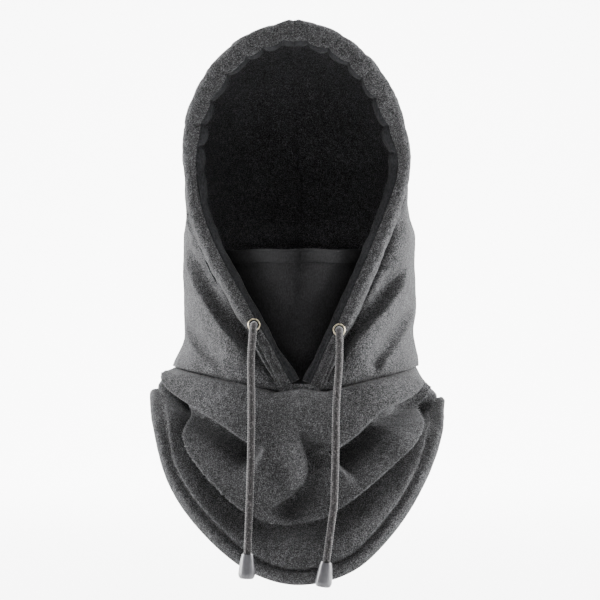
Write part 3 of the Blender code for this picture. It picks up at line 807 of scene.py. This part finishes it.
def fold(places, line, rise, drop, rise_width, drop_width, hang, edge=0.0013, fade=0.12):
    """An overlapping fold whose lip runs along a line of (x, z) points.

    The cloth swells on the right of the line's direction and hangs over the lip by a little; on
    the left it falls away, deepest at half the drop width from the lip, and rises again. Gives
    the height above the cloth and the shift in x and z.
    """
    samples = through([(x, 0.0, z) for x, z in line])(np.linspace(0, 1, FOLD_SAMPLES))[:, [0, 2]]
    spots = places[..., [0, 2]].reshape(-1, 2)
    height, shift = np.zeros(len(spots)), np.zeros((len(spots), 3))
    reach = max(rise_width, drop_width) * 4
    low, high = samples.min(axis=0) - reach, samples.max(axis=0) + reach
    near = np.all((spots > low) & (spots < high), axis=1)
    gaps = spots[near][:, None, :] - samples[None, :, :]
    distance = np.linalg.norm(gaps, axis=2)
    best = distance.argmin(axis=1)
    along = unit(np.gradient(samples, axis=0))[best]
    gap = gaps[np.arange(len(best)), best]
    across = gap[:, 0] * along[:, 1] - gap[:, 1] * along[:, 0]
    signed = np.sign(across) * distance[np.arange(len(best)), best]
    share = best / (FOLD_SAMPLES - 1)
    strength = ease(0.0, fade, share) * ease(1.0, 1.0 - fade, share)
    side = ease(-edge, edge, signed)
    up = rise * np.exp(-np.maximum(signed, 0) / rise_width)
    down = drop * np.exp(-((np.maximum(-signed, 0) - 0.5 * drop_width) / drop_width) ** 2)
    height[near] = strength * (side * up - (1 - side) * down)
    slide = strength * hang * side * np.exp(-np.maximum(signed, 0) / OVERHANG_REACH)
    shift[near, 0], shift[near, 2] = -slide * along[:, 1], slide * along[:, 0]
    return height.reshape(places.shape[:-1]), shift.reshape(places.shape)


def pile(places, amount, seed):
    """The lumpy surface of brushed fleece, too coarse for shading alone."""
    clumps, tufts = soft_noise(places, 0.0075, seed, 2), soft_noise(places, 0.0034, seed + 1, 2)
    return amount * (0.6 * clumps + 0.4 * tufts)


# ---------------------------------------------------------------- the hood
HOOD_FOLDS = (
    # lip line, rise, drop, rise width, drop width, overhang, edge: creases beside the lower rim
    (((-0.0905, -0.1700), (-0.0868, -0.1900), (-0.0786, -0.2090), (-0.0672, -0.2270),
      (-0.0556, -0.2430), (-0.0445, -0.2560), (-0.0360, -0.2680)),
     0.0050, 0.0105, 0.013, 0.0090, 0.0030, 0.0014),
    (((0.0345, -0.2680), (0.0415, -0.2560), (0.0540, -0.2400), (0.0700, -0.2215), (0.0830, -0.2020),
      (0.0880, -0.1860)), 0.0050, 0.0105, 0.013, 0.0090, 0.0030, 0.0014),
    (((0.0610, -0.2780), (0.0680, -0.2640), (0.0790, -0.2520), (0.0890, -0.2380), (0.0940, -0.2200)),
     0.0026, 0.0050, 0.012, 0.0080, 0.0012, 0.0018),
    (((-0.0960, -0.2300), (-0.0900, -0.2480), (-0.0780, -0.2610), (-0.0600, -0.2700)),
     0.0022, 0.0042, 0.012, 0.0080, 0.0010, 0.0018),
)


ALLOWANCE = 0.0030           # cloth hidden behind a seam


def turn_under(grid, normal, way):
    """Adds the hidden seam allowance past the neck seam: down for the hood, up for the bib."""
    edge = grid[-1] if way < 0 else grid[:, 0]
    out = normal[-1] if way < 0 else normal[:, 0]
    extra = edge - out * ALLOWANCE + np.array([0.0, 0.0, ALLOWANCE * way])
    if way < 0:
        return np.concatenate([grid, extra[None]])
    return np.concatenate([extra[:, None], grid], axis=1)


def lap_sides(grid, normal, depth):
    """Adds a seam allowance past both side seams, under the neighbouring panel."""
    ends = []
    for end, beside in ((0, 1), (-1, -2)):
        folded = grid[end] - normal[end] * depth
        ends.append((folded, folded + unit(grid[end] - grid[beside]) * ALLOWANCE))
    (first, before), (last, after) = ends
    return np.concatenate([before[None], first[None], grid, last[None], after[None]])


HOOD_HUB = (0.0, 0.0, -0.12)
HOOD_ALONG, HOOD_RIB = np.linspace(0, 1, 210), np.linspace(0, 1, 190)
WAIST_Z = {"right": -0.248, "left": -0.243}
HOOD_FOLD_FADE = 0.22


def hood_normals(surface, places):
    """Normals of a hood surface; at the crown, where places meet, they point from the hub."""
    normal = grid_normals(surface, HOOD_HUB)
    pole = np.linalg.norm(np.gradient(places, axis=0), axis=2) < 1e-5
    normal[pole] = unit(places - np.array(HOOD_HUB))[pole]
    return normal


def nape_folds(places, size, bow=0.0):
    """Slack folds over the nape, which bow down at the sides."""
    nape = ease(0.03, 0.09, places[..., 1]) * ease(-0.14, -0.22, places[..., 2])
    return size * nape * np.sin((places[..., 2] + bow * places[..., 0] ** 2) * 190 + 0.7)


def keep_to_side(side, grids, places):
    """Keeps grids on their side of the middle, and closes them along the centre seam."""
    for grid in grids:
        grid[..., 0] = SIDES[side] * np.maximum(SIDES[side] * grid[..., 0], 0.0)
        grid[np.abs(places[..., 0]) < 0.0004, 0] = 0.0


def hood_relief(side, outer):
    """How far the panel stands off the plain hood, and how far its folds slide over."""
    height = 0.0011 * soft_noise(outer, 0.085, 3 + int(SIDES[side]), 3)
    slide = np.zeros_like(outer)
    front_only = ease(0.01, -0.03, outer[..., 1])
    for row in HOOD_FOLDS:
        lift, shift = fold(outer, *row, HOOD_FOLD_FADE)
        height += front_only * lift
        slide += front_only[..., None] * shift
    # the cloth is sewn in behind the roll, so it dips beside it before it swells again
    from_roll = run_across(outer, 1)
    lower = ease(-0.125, -0.165, outer[:, :1, 2]) * ease(-0.284, -0.258, outer[:, :1, 2])
    height -= lower * 0.0078 * np.exp(-(from_roll / 0.011) ** 2)
    height -= (1 - lower) * 0.0016 * np.exp(-from_roll / 0.003)
    # a slight waist above the neck seam
    waist = hump(outer[..., 2], WAIST_Z[side], 0.013)
    height -= 0.0036 * waist * ease(0.055, 0.08, np.abs(outer[..., 0]))
    height += nape_folds(outer, 0.0032, 1.6)
    # the cloth dips into its seams
    from_neck = (1 - HOOD_ALONG)[:, None] * rim_length(side)
    seam = np.exp(-np.abs(outer[..., 0]) / 0.0022) * ease(-0.08, -0.06, outer[..., 1])
    height -= 0.0016 * seam * ease(0.0, 0.010, from_neck)
    height -= 0.0013 * np.exp(-from_neck / SEAM_WIDTH)
    height += CROWN_PEAK * hump(outer[..., 0], 0.0, 0.011) * ease(-0.060, -0.088, outer[..., 1])
    return height + pile(outer, 0.00028, 21), slide


def make_hood_panel(side, outer, height, slide):
    normal = hood_normals(hood_surface(side, HOOD_ALONG, HOOD_RIB), outer)
    shaped = outer + slide + normal * height[..., None]
    inner = shaped - normal * FLEECE
    keep_to_side(side, (shaped, inner), outer)
    shaped, inner = (turn_under(grid, normal, -1) for grid in (shaped, inner))
    # the front edge runs on into the roll
    hidden = RIM[side](np.append(HOOD_ALONG, 1.0)) + np.array([0.0, 0.0025, 0.0])
    shaped = np.concatenate([hidden[:, None], shaped], axis=1)
    inner = np.concatenate([hidden[:, None] + np.array([0.0, 0.0010, 0.0]), inner], axis=1)
    panel = cloth(f"hood_{side}_panel_fleece", lean(shaped), lean(inner), FLEECE_LOOK)
    belongs(panel, "hood", "fleece", f"hood_{side}_panel")


def make_hood_lining(side, height, slide):
    rows, cols = np.linspace(0, 1, 110), np.linspace(0, 1, 100)
    wall = hood_surface(side, rows, cols, FLEECE + GAP + 0.0003)
    normal = hood_normals(wall, wall)
    dip = 0.0009 * soft_noise(wall, 0.06, 9, 3) - 0.0012 + nape_folds(wall, 0.0024)
    # the lining gives way wherever the panel folds in
    row = np.round(rows * (len(HOOD_ALONG) - 1)).astype(int)
    col = np.round(cols * (len(HOOD_RIB) - 1)).astype(int)
    pressed = np.minimum(height[np.ix_(row, col)], 0.0)
    moved = slide[np.ix_(row, col)] * (pressed < 0)[..., None]
    face = wall + moved + normal * (np.minimum(dip, 0.0) + pressed)[..., None]
    seam_lip = 0.0016 * np.exp(-np.abs(wall[..., 0]) / 0.0020)
    inside = face - normal * (LINING + seam_lip)[..., None]
    keep_to_side(side, (face, inside), wall)
    lining = cloth(f"hood_{side}_lining_fleece", lean(face), lean(inside), LINING_AND_SHADE_LOOK)
    belongs(lining, "hood", "lining", f"hood_{side}_lining")


def make_hood():
    for side in SIDES:
        outer = hood_surface(side, HOOD_ALONG, HOOD_RIB, 0.0, 0.0022)
        height, slide = hood_relief(side, outer)
        make_hood_panel(side, outer, height, slide)
        make_hood_lining(side, height, slide)


# ---------------------------------------------------------------- the rolled rim
# Where the drawcord pinches the facing into lobes, as distances along the rim from the crown.
GATHERS = {
    "right": (-0.013, 0.012, 0.030, 0.047, 0.069, 0.096, 0.117, 0.136, 0.158, 0.185, 0.215, 0.24),
    "left": (-0.012, 0.014, 0.034, 0.055, 0.073, 0.093, 0.119, 0.142, 0.163, 0.190, 0.218, 0.24),
}


def roll_lobes(side, run, turn):
    """The swell between the drawcord's pinches, and the pinches, from 0 to 1."""
    place = run + 0.0030 * np.sin(turn * 1.2 + 0.4)
    belly, pinch = np.zeros(place.shape), np.zeros(place.shape)
    for first, last in zip(GATHERS[side][:-1], GATHERS[side][1:]):
        pinch += hump(place, first, 0.0016)
        inside = np.clip((place - first) / (last - first), 0, 1)
        belly += np.sin(math.pi * inside) ** 0.75
    return belly, pinch


def roll_lift(side, run, degrees):
    """How far the roll's skin stands off its plain section."""
    turn = np.radians(degrees)
    belly, pinch = roll_lobes(side, run, turn)
    inner_side = ease(-10, 75, degrees) * ease(215, 150, degrees)
    upper = ease(0.165, 0.120, run) * 0.88 + 0.12
    lift = upper * inner_side * (0.0034 * belly - 0.0012 * pinch)
    lift = lift + upper * (1 - inner_side) * 0.0003 * (belly - pinch)
    spots = np.stack([run + 0 * turn, 0.012 * np.sin(turn) + 0 * run,
                      0 * run + 0.012 * np.cos(turn)], axis=2)
    lift += 0.0009 * soft_noise(spots, 0.030, 13 + int(SIDES[side]), 3)
    eyelet = rim_at_height(side, EYELET_Z[side]) * rim_length(side)
    # the cord squeezes the roll beside the eyelet, and flattens it under the flange
    lift -= 0.0021 * hump(run, eyelet + 0.004, 0.009) * ease(-25, -80, degrees)
    lift -= 0.0005 * hump(run, eyelet, 0.0055) * np.maximum(np.cos(turn), 0)
    # pleats that run from the eyelet down to the neck seam
    below = ease(eyelet + 0.004, eyelet + 0.018, run)
    band = ease(-95, -50, degrees) * ease(50, 20, degrees)
    return lift + 0.0018 * below * np.sin(degrees * 0.16 + 0.6) * band


def roll_surface(side, along, degrees, inset=0.0):
    """The roll's skin on a grid: along from crown to neck, degrees round from its front."""
    centre, outward, front = rim_frames(side, along)
    run = (along * rim_length(side))[:, None]
    turn = np.radians(degrees)
    power = 2.0 / ROLL_SQUARENESS
    across = np.sign(np.sin(turn)) * np.abs(np.sin(turn)) ** power
    depth = np.sign(np.cos(turn)) * np.abs(np.cos(turn)) ** power

    taper = ease(rim_length(side) - 0.032, rim_length(side), run)
    lift = roll_lift(side, run, degrees)
    half_width = (ROLL_HALF_WIDTH - inset) * (1 + 0.06 * taper) + lift
    half_depth = (ROLL_HALF_DEPTH - inset) * (1 - 0.50 * taper) + 0.7 * lift
    centre = centre - outward * 0.0020 * taper
    # the lower rim lies tipped, its outer edge forward and its inner edge turned in
    tip = ROLL_TIP * ease(-0.10, -0.16, RIM[side](along)[:, 2:]) * (1 - 0.7 * taper)
    tipped_out = outward * np.cos(tip) + front * np.sin(tip)
    tipped_front = front * np.cos(tip) - outward * np.sin(tip)
    grid = (centre[:, None, :] - tipped_out[:, None, :] * (across * half_width)[..., None]
            + tipped_front[:, None, :] * (depth * half_depth)[..., None])
    crown = CROWN_PEAK * hump(run, 0.0, 0.011) - 0.0022 * np.exp(-run / 0.0011)
    grid += outward[:, None, :] * (crown * np.abs(np.cos(turn * 0.5)))[..., None]
    return grid


def make_rim():
    for side in SIDES:
        along = np.linspace(0, 1, int(rim_length(side) / 0.0011))
        centres = RIM[side](along)[:, None, :]
        # over the crown the fleece rolls further in, so the darker facing, whose tone is partly
        # painted shade, starts further round
        split = ROLL_SPLIT + 44.0 * ease(-0.13, -0.03, centres[..., 2])
        for name, first, last, slot, look, width in (
                ("tunnel", -150.0, split, "fleece", FLEECE_LOOK, 0.030),
                ("facing", split + 2.0, 207.0, "facing", FACING_AND_SHADE_LOOK, 0.036)):
            degrees = first + (last - first) * np.linspace(0, 1, 40)
            outer = roll_surface(side, along, degrees)
            inner = roll_surface(side, along, degrees, ROLL_WALL)
            if name == "tunnel":
                outer = outer + unit(outer - centres) * pile(outer, 0.00026, 31)[..., None]
                lip = hump(degrees, split, 7.0)[..., None]
                outer = outer + unit(outer - centres) * 0.0004 * lip
            for grid in (outer, inner):
                grid[0, :, 0] = 0.0
            piece = cloth(f"rim_{side}_{name}_roll", lean(outer), lean(inner), look)
            belongs(piece, "hood", slot, f"rim_{side}_{name}")


# ---------------------------------------------------------------- the bib
BIB_FOLDS = (
    # lip line, rise, drop, rise width, drop width, overhang, edge, fade
    # the yoke's lower lip, right and left
    (((-0.0250, -0.3330), (-0.0412, -0.3240), (-0.0615, -0.3100), (-0.0812, -0.2985),
      (-0.0955, -0.2880), (-0.1030, -0.2720)), 0.0060, 0.0260, 0.026, 0.0140, 0.0060, 0.0014, 0.14),
    (((0.0985, -0.2790), (0.0880, -0.2905), (0.0692, -0.2985), (0.0577, -0.3065),
      (0.0446, -0.3195), (0.0225, -0.3350)), 0.0060, 0.0300, 0.026, 0.0150, 0.0060, 0.0014, 0.07),
    # the great crescent that runs from shoulder to shoulder
    (((0.1085, -0.2800), (0.1068, -0.2930), (0.1025, -0.3065), (0.0950, -0.3200), (0.0830, -0.3340),
      (0.0680, -0.3480), (0.0510, -0.3620), (0.0340, -0.3750), (0.0202, -0.3835),
      (0.0006, -0.3885), (-0.0142, -0.3893), (-0.0305, -0.3848), (-0.0452, -0.3768),
      (-0.0582, -0.3650), (-0.0745, -0.3470), (-0.0868, -0.3290), (-0.0940, -0.3110),
      (-0.0985, -0.2940), (-0.1020, -0.2760), (-0.1035, -0.2600)),
     0.0075, 0.0200, 0.012, 0.0120, 0.0050, 0.0014, 0.05),
    # the tongue that drops from the yoke's middle and curls back to the right
    (((0.0040, -0.3160), (0.0010, -0.3240), (0.0018, -0.3330), (0.0046, -0.3440), (0.0032, -0.3570),
      (-0.0045, -0.3660), (-0.0140, -0.3735), (-0.0235, -0.3810)), 0.0062, 0.0180, 0.0075, 0.012,
     0.0042, 0.0014, 0.24),
    # a thin crease beside the left cord
    (((0.0330, -0.3290), (0.0220, -0.3345), (0.0100, -0.3405)), 0.0010, 0.0020, 0.008, 0.006,
     0.0005, 0.0012, 0.25),
)


BIB_HUB = (0.0, 0.0, -0.36)
BIB_STEPS, HEM_STEPS = 140, 18    # grid steps down the bib above its hem, and down the hem


def bib_grid(name):
    """The plain bib, front or back, with one column of its grid where the hem starts."""
    first, last, steps = (-0.5, 0.5, 290) if name == "front" else (0.5008, 1.4992, 230)
    turn = np.linspace(first, last, steps)
    start = hem_start(turn)[:, None]
    fall = np.concatenate([start * np.linspace(0, 1, BIB_STEPS),
                           start + (1 - start) * np.linspace(0, 1, HEM_STEPS)[1:]], axis=1)
    return bib_surface(turn, fall)


def front_relief(base):
    height, slide = np.zeros(base.shape[:2]), np.zeros_like(base)
    for row in BIB_FOLDS:
        lift, shift = fold(base, *row)
        height += lift
        slide += shift
    # the yoke's middle sinks beside the tongue
    dip = hump(base[..., 0] + 0.35 * (base[..., 2] + 0.345), -0.015, 0.010)
    return height - 0.0050 * dip * hump(base[..., 2], -0.350, 0.022), slide


def back_relief(base, from_seam, from_edge):
    sag = base[..., 2] + 2.2 * base[..., 0] ** 2
    wave = 0.0030 * np.sin(sag * 150 + 0.4)
    return wave * ease(0.0, 0.03, from_seam) * ease(0.008, 0.04, from_edge)


def bib_relief(name, base, from_seam, from_edge):
    """How far the bib's cloth stands off the plain bib, and how far its folds slide over."""
    across = run_across(base, 0)
    from_side = np.minimum(across, across[-1:] - across)
    height = 0.0012 * soft_noise(base, 0.07, 17, 3)
    if name == "front":
        folds, slide = front_relief(base)
    else:
        folds, slide = back_relief(base, from_seam, from_edge), np.zeros_like(base)
    keep = ease(0.006, 0.022, from_edge) * 0.85 + 0.15
    keep = keep * ease(-0.002, 0.010, from_seam) * ease(-0.002, 0.028, from_side)
    height = (height + folds) * keep
    slide = slide * (keep * ease(0.004, 0.02, from_edge))[..., None]
    height -= 0.0013 * np.exp(-from_seam / SEAM_WIDTH)
    height -= 0.0012 * np.exp(-from_side / SEAM_WIDTH)
    # the hem swells, and its stitch line puckers
    height += 0.0020 * hump(from_edge, HEM_WIDTH * 0.5, HEM_WIDTH * 0.42)
    pucker = 1 + 0.35 * np.sin(run_along(base[:, -1]) * 2 * math.pi / 0.0046)[:, None]
    height -= 0.0030 * hump(from_edge, HEM_WIDTH, SEAM_WIDTH) * pucker
    height -= 0.0012 * np.exp(-from_edge / 0.0010)
    return height + pile(base, 0.00028, 41), slide


def make_bib():
    for name, flat, share in (("front", (0.34, 0.23), 0.66), ("back", (0.30, 0.15), 0.62)):
        base = bib_grid(name)
        edge = BIB_STEPS - 1
        normal = grid_normals(base, BIB_HUB)
        from_seam = run_across(base, 1)
        # distance from the edge, square to it
        from_edge = from_seam[:, -1:] - from_seam
        from_edge = from_edge * HEM_WIDTH / from_edge[:, edge:edge + 1]
        height, slide = bib_relief(name, base, from_seam, from_edge)
        shaped = base + slide + normal * height[..., None]
        thick = BIB_CLOTH + 0.0008 * hump(from_edge, HEM_WIDTH * 0.5, HEM_WIDTH * 0.45)
        skins, out = [shaped, shaped - normal * thick[..., None]], normal
        if name == "front":
            skins = [lap_sides(skins[0], normal, BIB_CLOTH + 0.0007),
                     lap_sides(skins[1], normal, 0.0014)]
            out = np.concatenate([normal[:1], normal[:1], normal, normal[-1:], normal[-1:]])
        outer, inner = (turn_under(grid[:, :edge + 1], out, 1) for grid in skins)
        piece = cloth(f"bib_{name}_fleece", outer, inner, FLEECE_LOOK)
        belongs(piece, "hood", "fleece", f"bib_{name}")
        hem = cloth(f"bib_{name}_hem_band", *(grid[:, edge:] for grid in skins), FLEECE_LOOK)
        belongs(hem, "hood", "fleece", f"bib_hem_{name}")
        stitches = stitch_row(f"bib_{name}_hem_stitches", shaped, normal, from_edge, HEM_WIDTH)
        belongs(stitches, "hood", "fleece")


def stitch_row(name, surface, normal, from_edge, offset, spacing=0.0042, long=0.0027):
    """Lockstitches sunk into the cloth at a set distance from its edge."""
    columns = np.abs(from_edge - offset).argmin(axis=1)
    rows = np.arange(surface.shape[0])
    line, up = surface[rows, columns], normal[rows, columns]
    smooth = np.stack([np.convolve(np.pad(line[:, k], 4, mode="edge"), np.ones(9) / 9, "valid")
                       for k in range(3)], axis=1)
    return thread_pieces(name, run_along(line), smooth, up, spacing, long)


STITCH_RINGS = ((0.0, 0.15), (0.18, 0.85), (0.5, 1.0), (0.82, 0.85), (1.0, 0.15))


def thread_pieces(name, run, line, up, spacing, long, radius=0.00032):
    """Short stitches along a line; each is a thin bead of thread that arches off the cloth."""
    def at(distance, data):
        return np.array([np.interp(distance, run, data[:, k]) for k in range(3)])

    verts, faces = [], []
    sides = 6
    for begin in np.arange(spacing, run[-1] - spacing, spacing):
        head = unit(at(begin + long, line) - at(begin, line))
        lift = unit(at(begin, up))
        other = unit(np.cross(head, lift))
        faces += tube_faces(len(STITCH_RINGS), sides, len(verts))
        for share, size in STITCH_RINGS:
            arch = 0.00035 + 0.0003 * math.sin(math.pi * share)
            centre = at(begin + long * share, line) + lift * arch
            for k in range(sides):
                turn = 2 * math.pi * k / sides
                verts.append(centre + radius * size * (math.cos(turn) * lift + math.sin(turn) * other))
    return mesh_from(name, verts, faces, THREAD_LOOK, weld=0)


def mask_surface(share, heights, extra=0.0):
    """The mask on a grid: heights from low to high, share from its right edge to its left."""
    half = MASK_HALF_WIDTH - 0.012 * ease(-0.20, MASK_LOW_Z, heights)
    x = share[None, :] * half[:, None]
    bow = 0.060 * (np.abs(x) / 0.070) ** 1.6
    y = MASK_PROFILE(heights)[:, :1] + bow + extra
    return np.stack([x, y, np.broadcast_to(heights[:, None], x.shape)], axis=2)


def make_mask_panel(share):
    heights = np.linspace(MASK_LOW_Z, MASK_TOP_Z - MASK_HEM_HEIGHT + 0.0006, 90)
    front = mask_surface(share, heights)
    slack = 0.0007 * np.sin(front[..., 0] * 90 + front[..., 2] * 210)
    slack = slack * ease(-0.19, -0.26, front[..., 2])
    front[..., 1] += slack + 0.0005 * soft_noise(front, 0.035, 51)
    back = front + np.array([0.0, MASK_CLOTH, 0.0])
    panel = cloth("mask_panel_cloth", front, back, MASK_LOOK)
    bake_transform(panel)
    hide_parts("mask_panel")


def make_mask_hem(share, low):
    """The mask's top edge: cloth folded over a flat elastic, drawn along the same curve."""
    top = MASK_HEM_HEIGHT
    fold_over = round_profile([(-0.0003, 0.0), (-0.0008, top - 0.0004), (0.0019, top - 0.0004),
                               (0.0017, 0.0), (0.0010, 0.0), (0.0010, top - 0.0025),
                               (-0.0010, top - 0.0025), (-0.0010, 0.0)], 0.0011)
    band = round_profile([(-0.0007, 0.0012), (-0.0007, 0.0080), (0.0007, 0.0080),
                          (0.0007, 0.0012)], 0.0003)
    for name, section, look, slot, node, reach in (
            ("mask_hem_fold", fold_over, MASK_LOOK, "mask_cloth", "mask_top_hem", 1.0),
            ("mask_elastic_band", band, ELASTIC_LOOK, "elastic", "mask_elastic", 0.98)):
        centre = mask_surface(share * reach, np.array([MASK_TOP_Z]))[0]
        centre[:, 2] = low + 0.0004 * np.sin(centre[:, 0] * 160)
        verts = [place + np.array([0.0, dy, dz]) for place in centre for dy, dz in section]
        piece = mesh_from(name, verts, tube_faces(len(centre), len(section)), look)
        belongs(piece, "mask_hem", slot, node)


def make_mask():
    share = np.linspace(-1, 1, 130)
    low = MASK_TOP_Z - MASK_HEM_HEIGHT
    make_mask_panel(share)
    make_mask_hem(share, low)
    line = mask_surface(share, np.array([low + 0.0010]), -0.0007)[0]
    up = np.tile((0.0, -1.0, 0.0), (len(line), 1))
    stitches = thread_pieces("mask_hem_stitches", run_along(line), line, up, 0.0034, 0.0022, 0.00022)
    stitches.data.materials[0] = MASK_LOOK
    belongs(stitches, "mask_hem", "mask_cloth")


# ---------------------------------------------------------------- metalwork and hidden cord
EYELET_BORE = 0.0038
EYELET_BARREL = 0.0042
EYELET_LIP = 0.0045          # radius of the rolled lip's crest
EYELET_FLANGE = 0.0050
EYELET_DEPTH = 0.0042


def make_eyelets():
    """Stamped eyelets, each a barrel with a rolled lip, and the washer it is clenched over."""
    for side in SIDES:
        matrix = eyelet_matrix(side)
        ring = [(EYELET_BORE, -EYELET_DEPTH), (EYELET_BORE, -0.0002)]
        for step in range(13):
            turn = math.radians(180 - 15 * step)
            ring.append((EYELET_LIP + 0.00052 * math.cos(turn), 0.0004 + 0.0007 * math.sin(turn)))
        ring += [(EYELET_FLANGE, 0.0001), (EYELET_BARREL, 0.0001), (EYELET_BARREL, -EYELET_DEPTH)]
        eyelet = turned(f"eyelet_{side}_ring", ring, 64, BRASS_LOOK, matrix)
        belongs(eyelet, "hood", "brass", f"eyelet_{side}")
        washer = round_profile([(0.0043, -0.0038), (0.0052, -0.0038), (0.0052, -0.0032),
                                (0.0043, -0.0032)], 0.0002, 2)
        plate = turned(f"eyelet_{side}_washer", washer, 48, BRASS_LOOK, matrix)
        belongs(plate, "hood", "brass", f"eyelet_washer_{side}")


def make_drawcord():
    path = []
    for side in ("right", "left"):
        stop = rim_at_height(side, EYELET_Z[side] + 0.0055)
        half = RIM[side](np.linspace(stop, 0.0, 420))
        path.append(half if side == "right" else half[-2::-1])
    cord = braid("drawcord_hidden_run", lean(np.concatenate(path)), 0.0, 18)
    belongs(cord, "hood", "cord", "drawcord_in_rim")


# ---------------------------------------------------------------- stage and light
FLOOR_DROP = 0.060           # the floor below the object, clear of a cord that is pulled out
SWEEP_BEND, SWEEP_BACK = 0.9, 2.4


def make_stage():
    """A pale sweep: floor well below the hanging cords, which curves up behind the object."""
    floor_z = CAD_BOX[0][2] - FLOOR_DROP
    profile = [(-14.0, floor_z), (SWEEP_BACK, floor_z)]
    for step in range(1, 13):
        turn = math.radians(90 * step / 12)
        profile.append((SWEEP_BACK + SWEEP_BEND * math.sin(turn),
                        floor_z + SWEEP_BEND * (1 - math.cos(turn))))
    profile.append((SWEEP_BACK + SWEEP_BEND, 4.0))
    verts = [(x, y, z) for y, z in profile for x in (-5.0, 5.0)]
    faces = [(2 * k, 2 * k + 1, 2 * k + 3, 2 * k + 2) for k in range(len(profile) - 1)]
    material, _, _, shader = new_material("pale_sweep")
    shader.inputs["Base Color"].default_value = (*grey(0.80), 1.0)
    shader.inputs["Roughness"].default_value = 0.9
    mesh_from("studio_sweep", verts, faces, material)


def add_light(name, location, target, size, power):
    data = bpy.data.lights.new(name, "AREA")
    data.shape = "RECTANGLE"
    data.size, data.size_y = size
    data.energy = power
    light = bpy.data.objects.new(name, data)
    light.location = location
    direction = Vector(target) - Vector(location)
    light.rotation_euler = direction.to_track_quat("-Z", "Y").to_euler()
    bpy.context.scene.collection.objects.link(light)


OBJECT_MIDDLE, BACKDROP_MIDDLE = (0.0, 0.0, -0.22), (0.0, 3.3, -0.1)
LIGHTS = (
    # name, place, what it points at, size, watts
    ("top_left", (-0.7, -0.35, 1.5), OBJECT_MIDDLE, (0.7, 0.5), 34.0),
    ("top_right", (0.7, -0.35, 1.5), OBJECT_MIDDLE, (0.7, 0.5), 26.0),
    ("side_left", (-1.4, 0.10, 0.10), OBJECT_MIDDLE, (0.5, 1.0), 122.0),
    ("side_right", (1.4, 0.10, 0.10), OBJECT_MIDDLE, (0.5, 1.0), 122.0),
    ("front_fill", (0.0, -2.4, 0.3), OBJECT_MIDDLE, (1.0, 1.0), 9.0),
    ("backdrop_wash", (0.0, 2.0, 2.4), BACKDROP_MIDDLE, (3.5, 0.8), 1000.0),
)


def make_lights():
    for light in LIGHTS:
        add_light(*light)
    world = bpy.data.worlds.new("studio")
    world.use_nodes = True
    background = world.node_tree.nodes["Background"]
    background.inputs["Color"].default_value = (*grey(1.0), 1.0)
    background.inputs["Strength"].default_value = 0.10
    bpy.context.scene.world = world


place_camera()
make_cords()
make_hood()
make_rim()
make_bib()
make_mask()
make_eyelets()
make_drawcord()
make_stage()
make_lights()
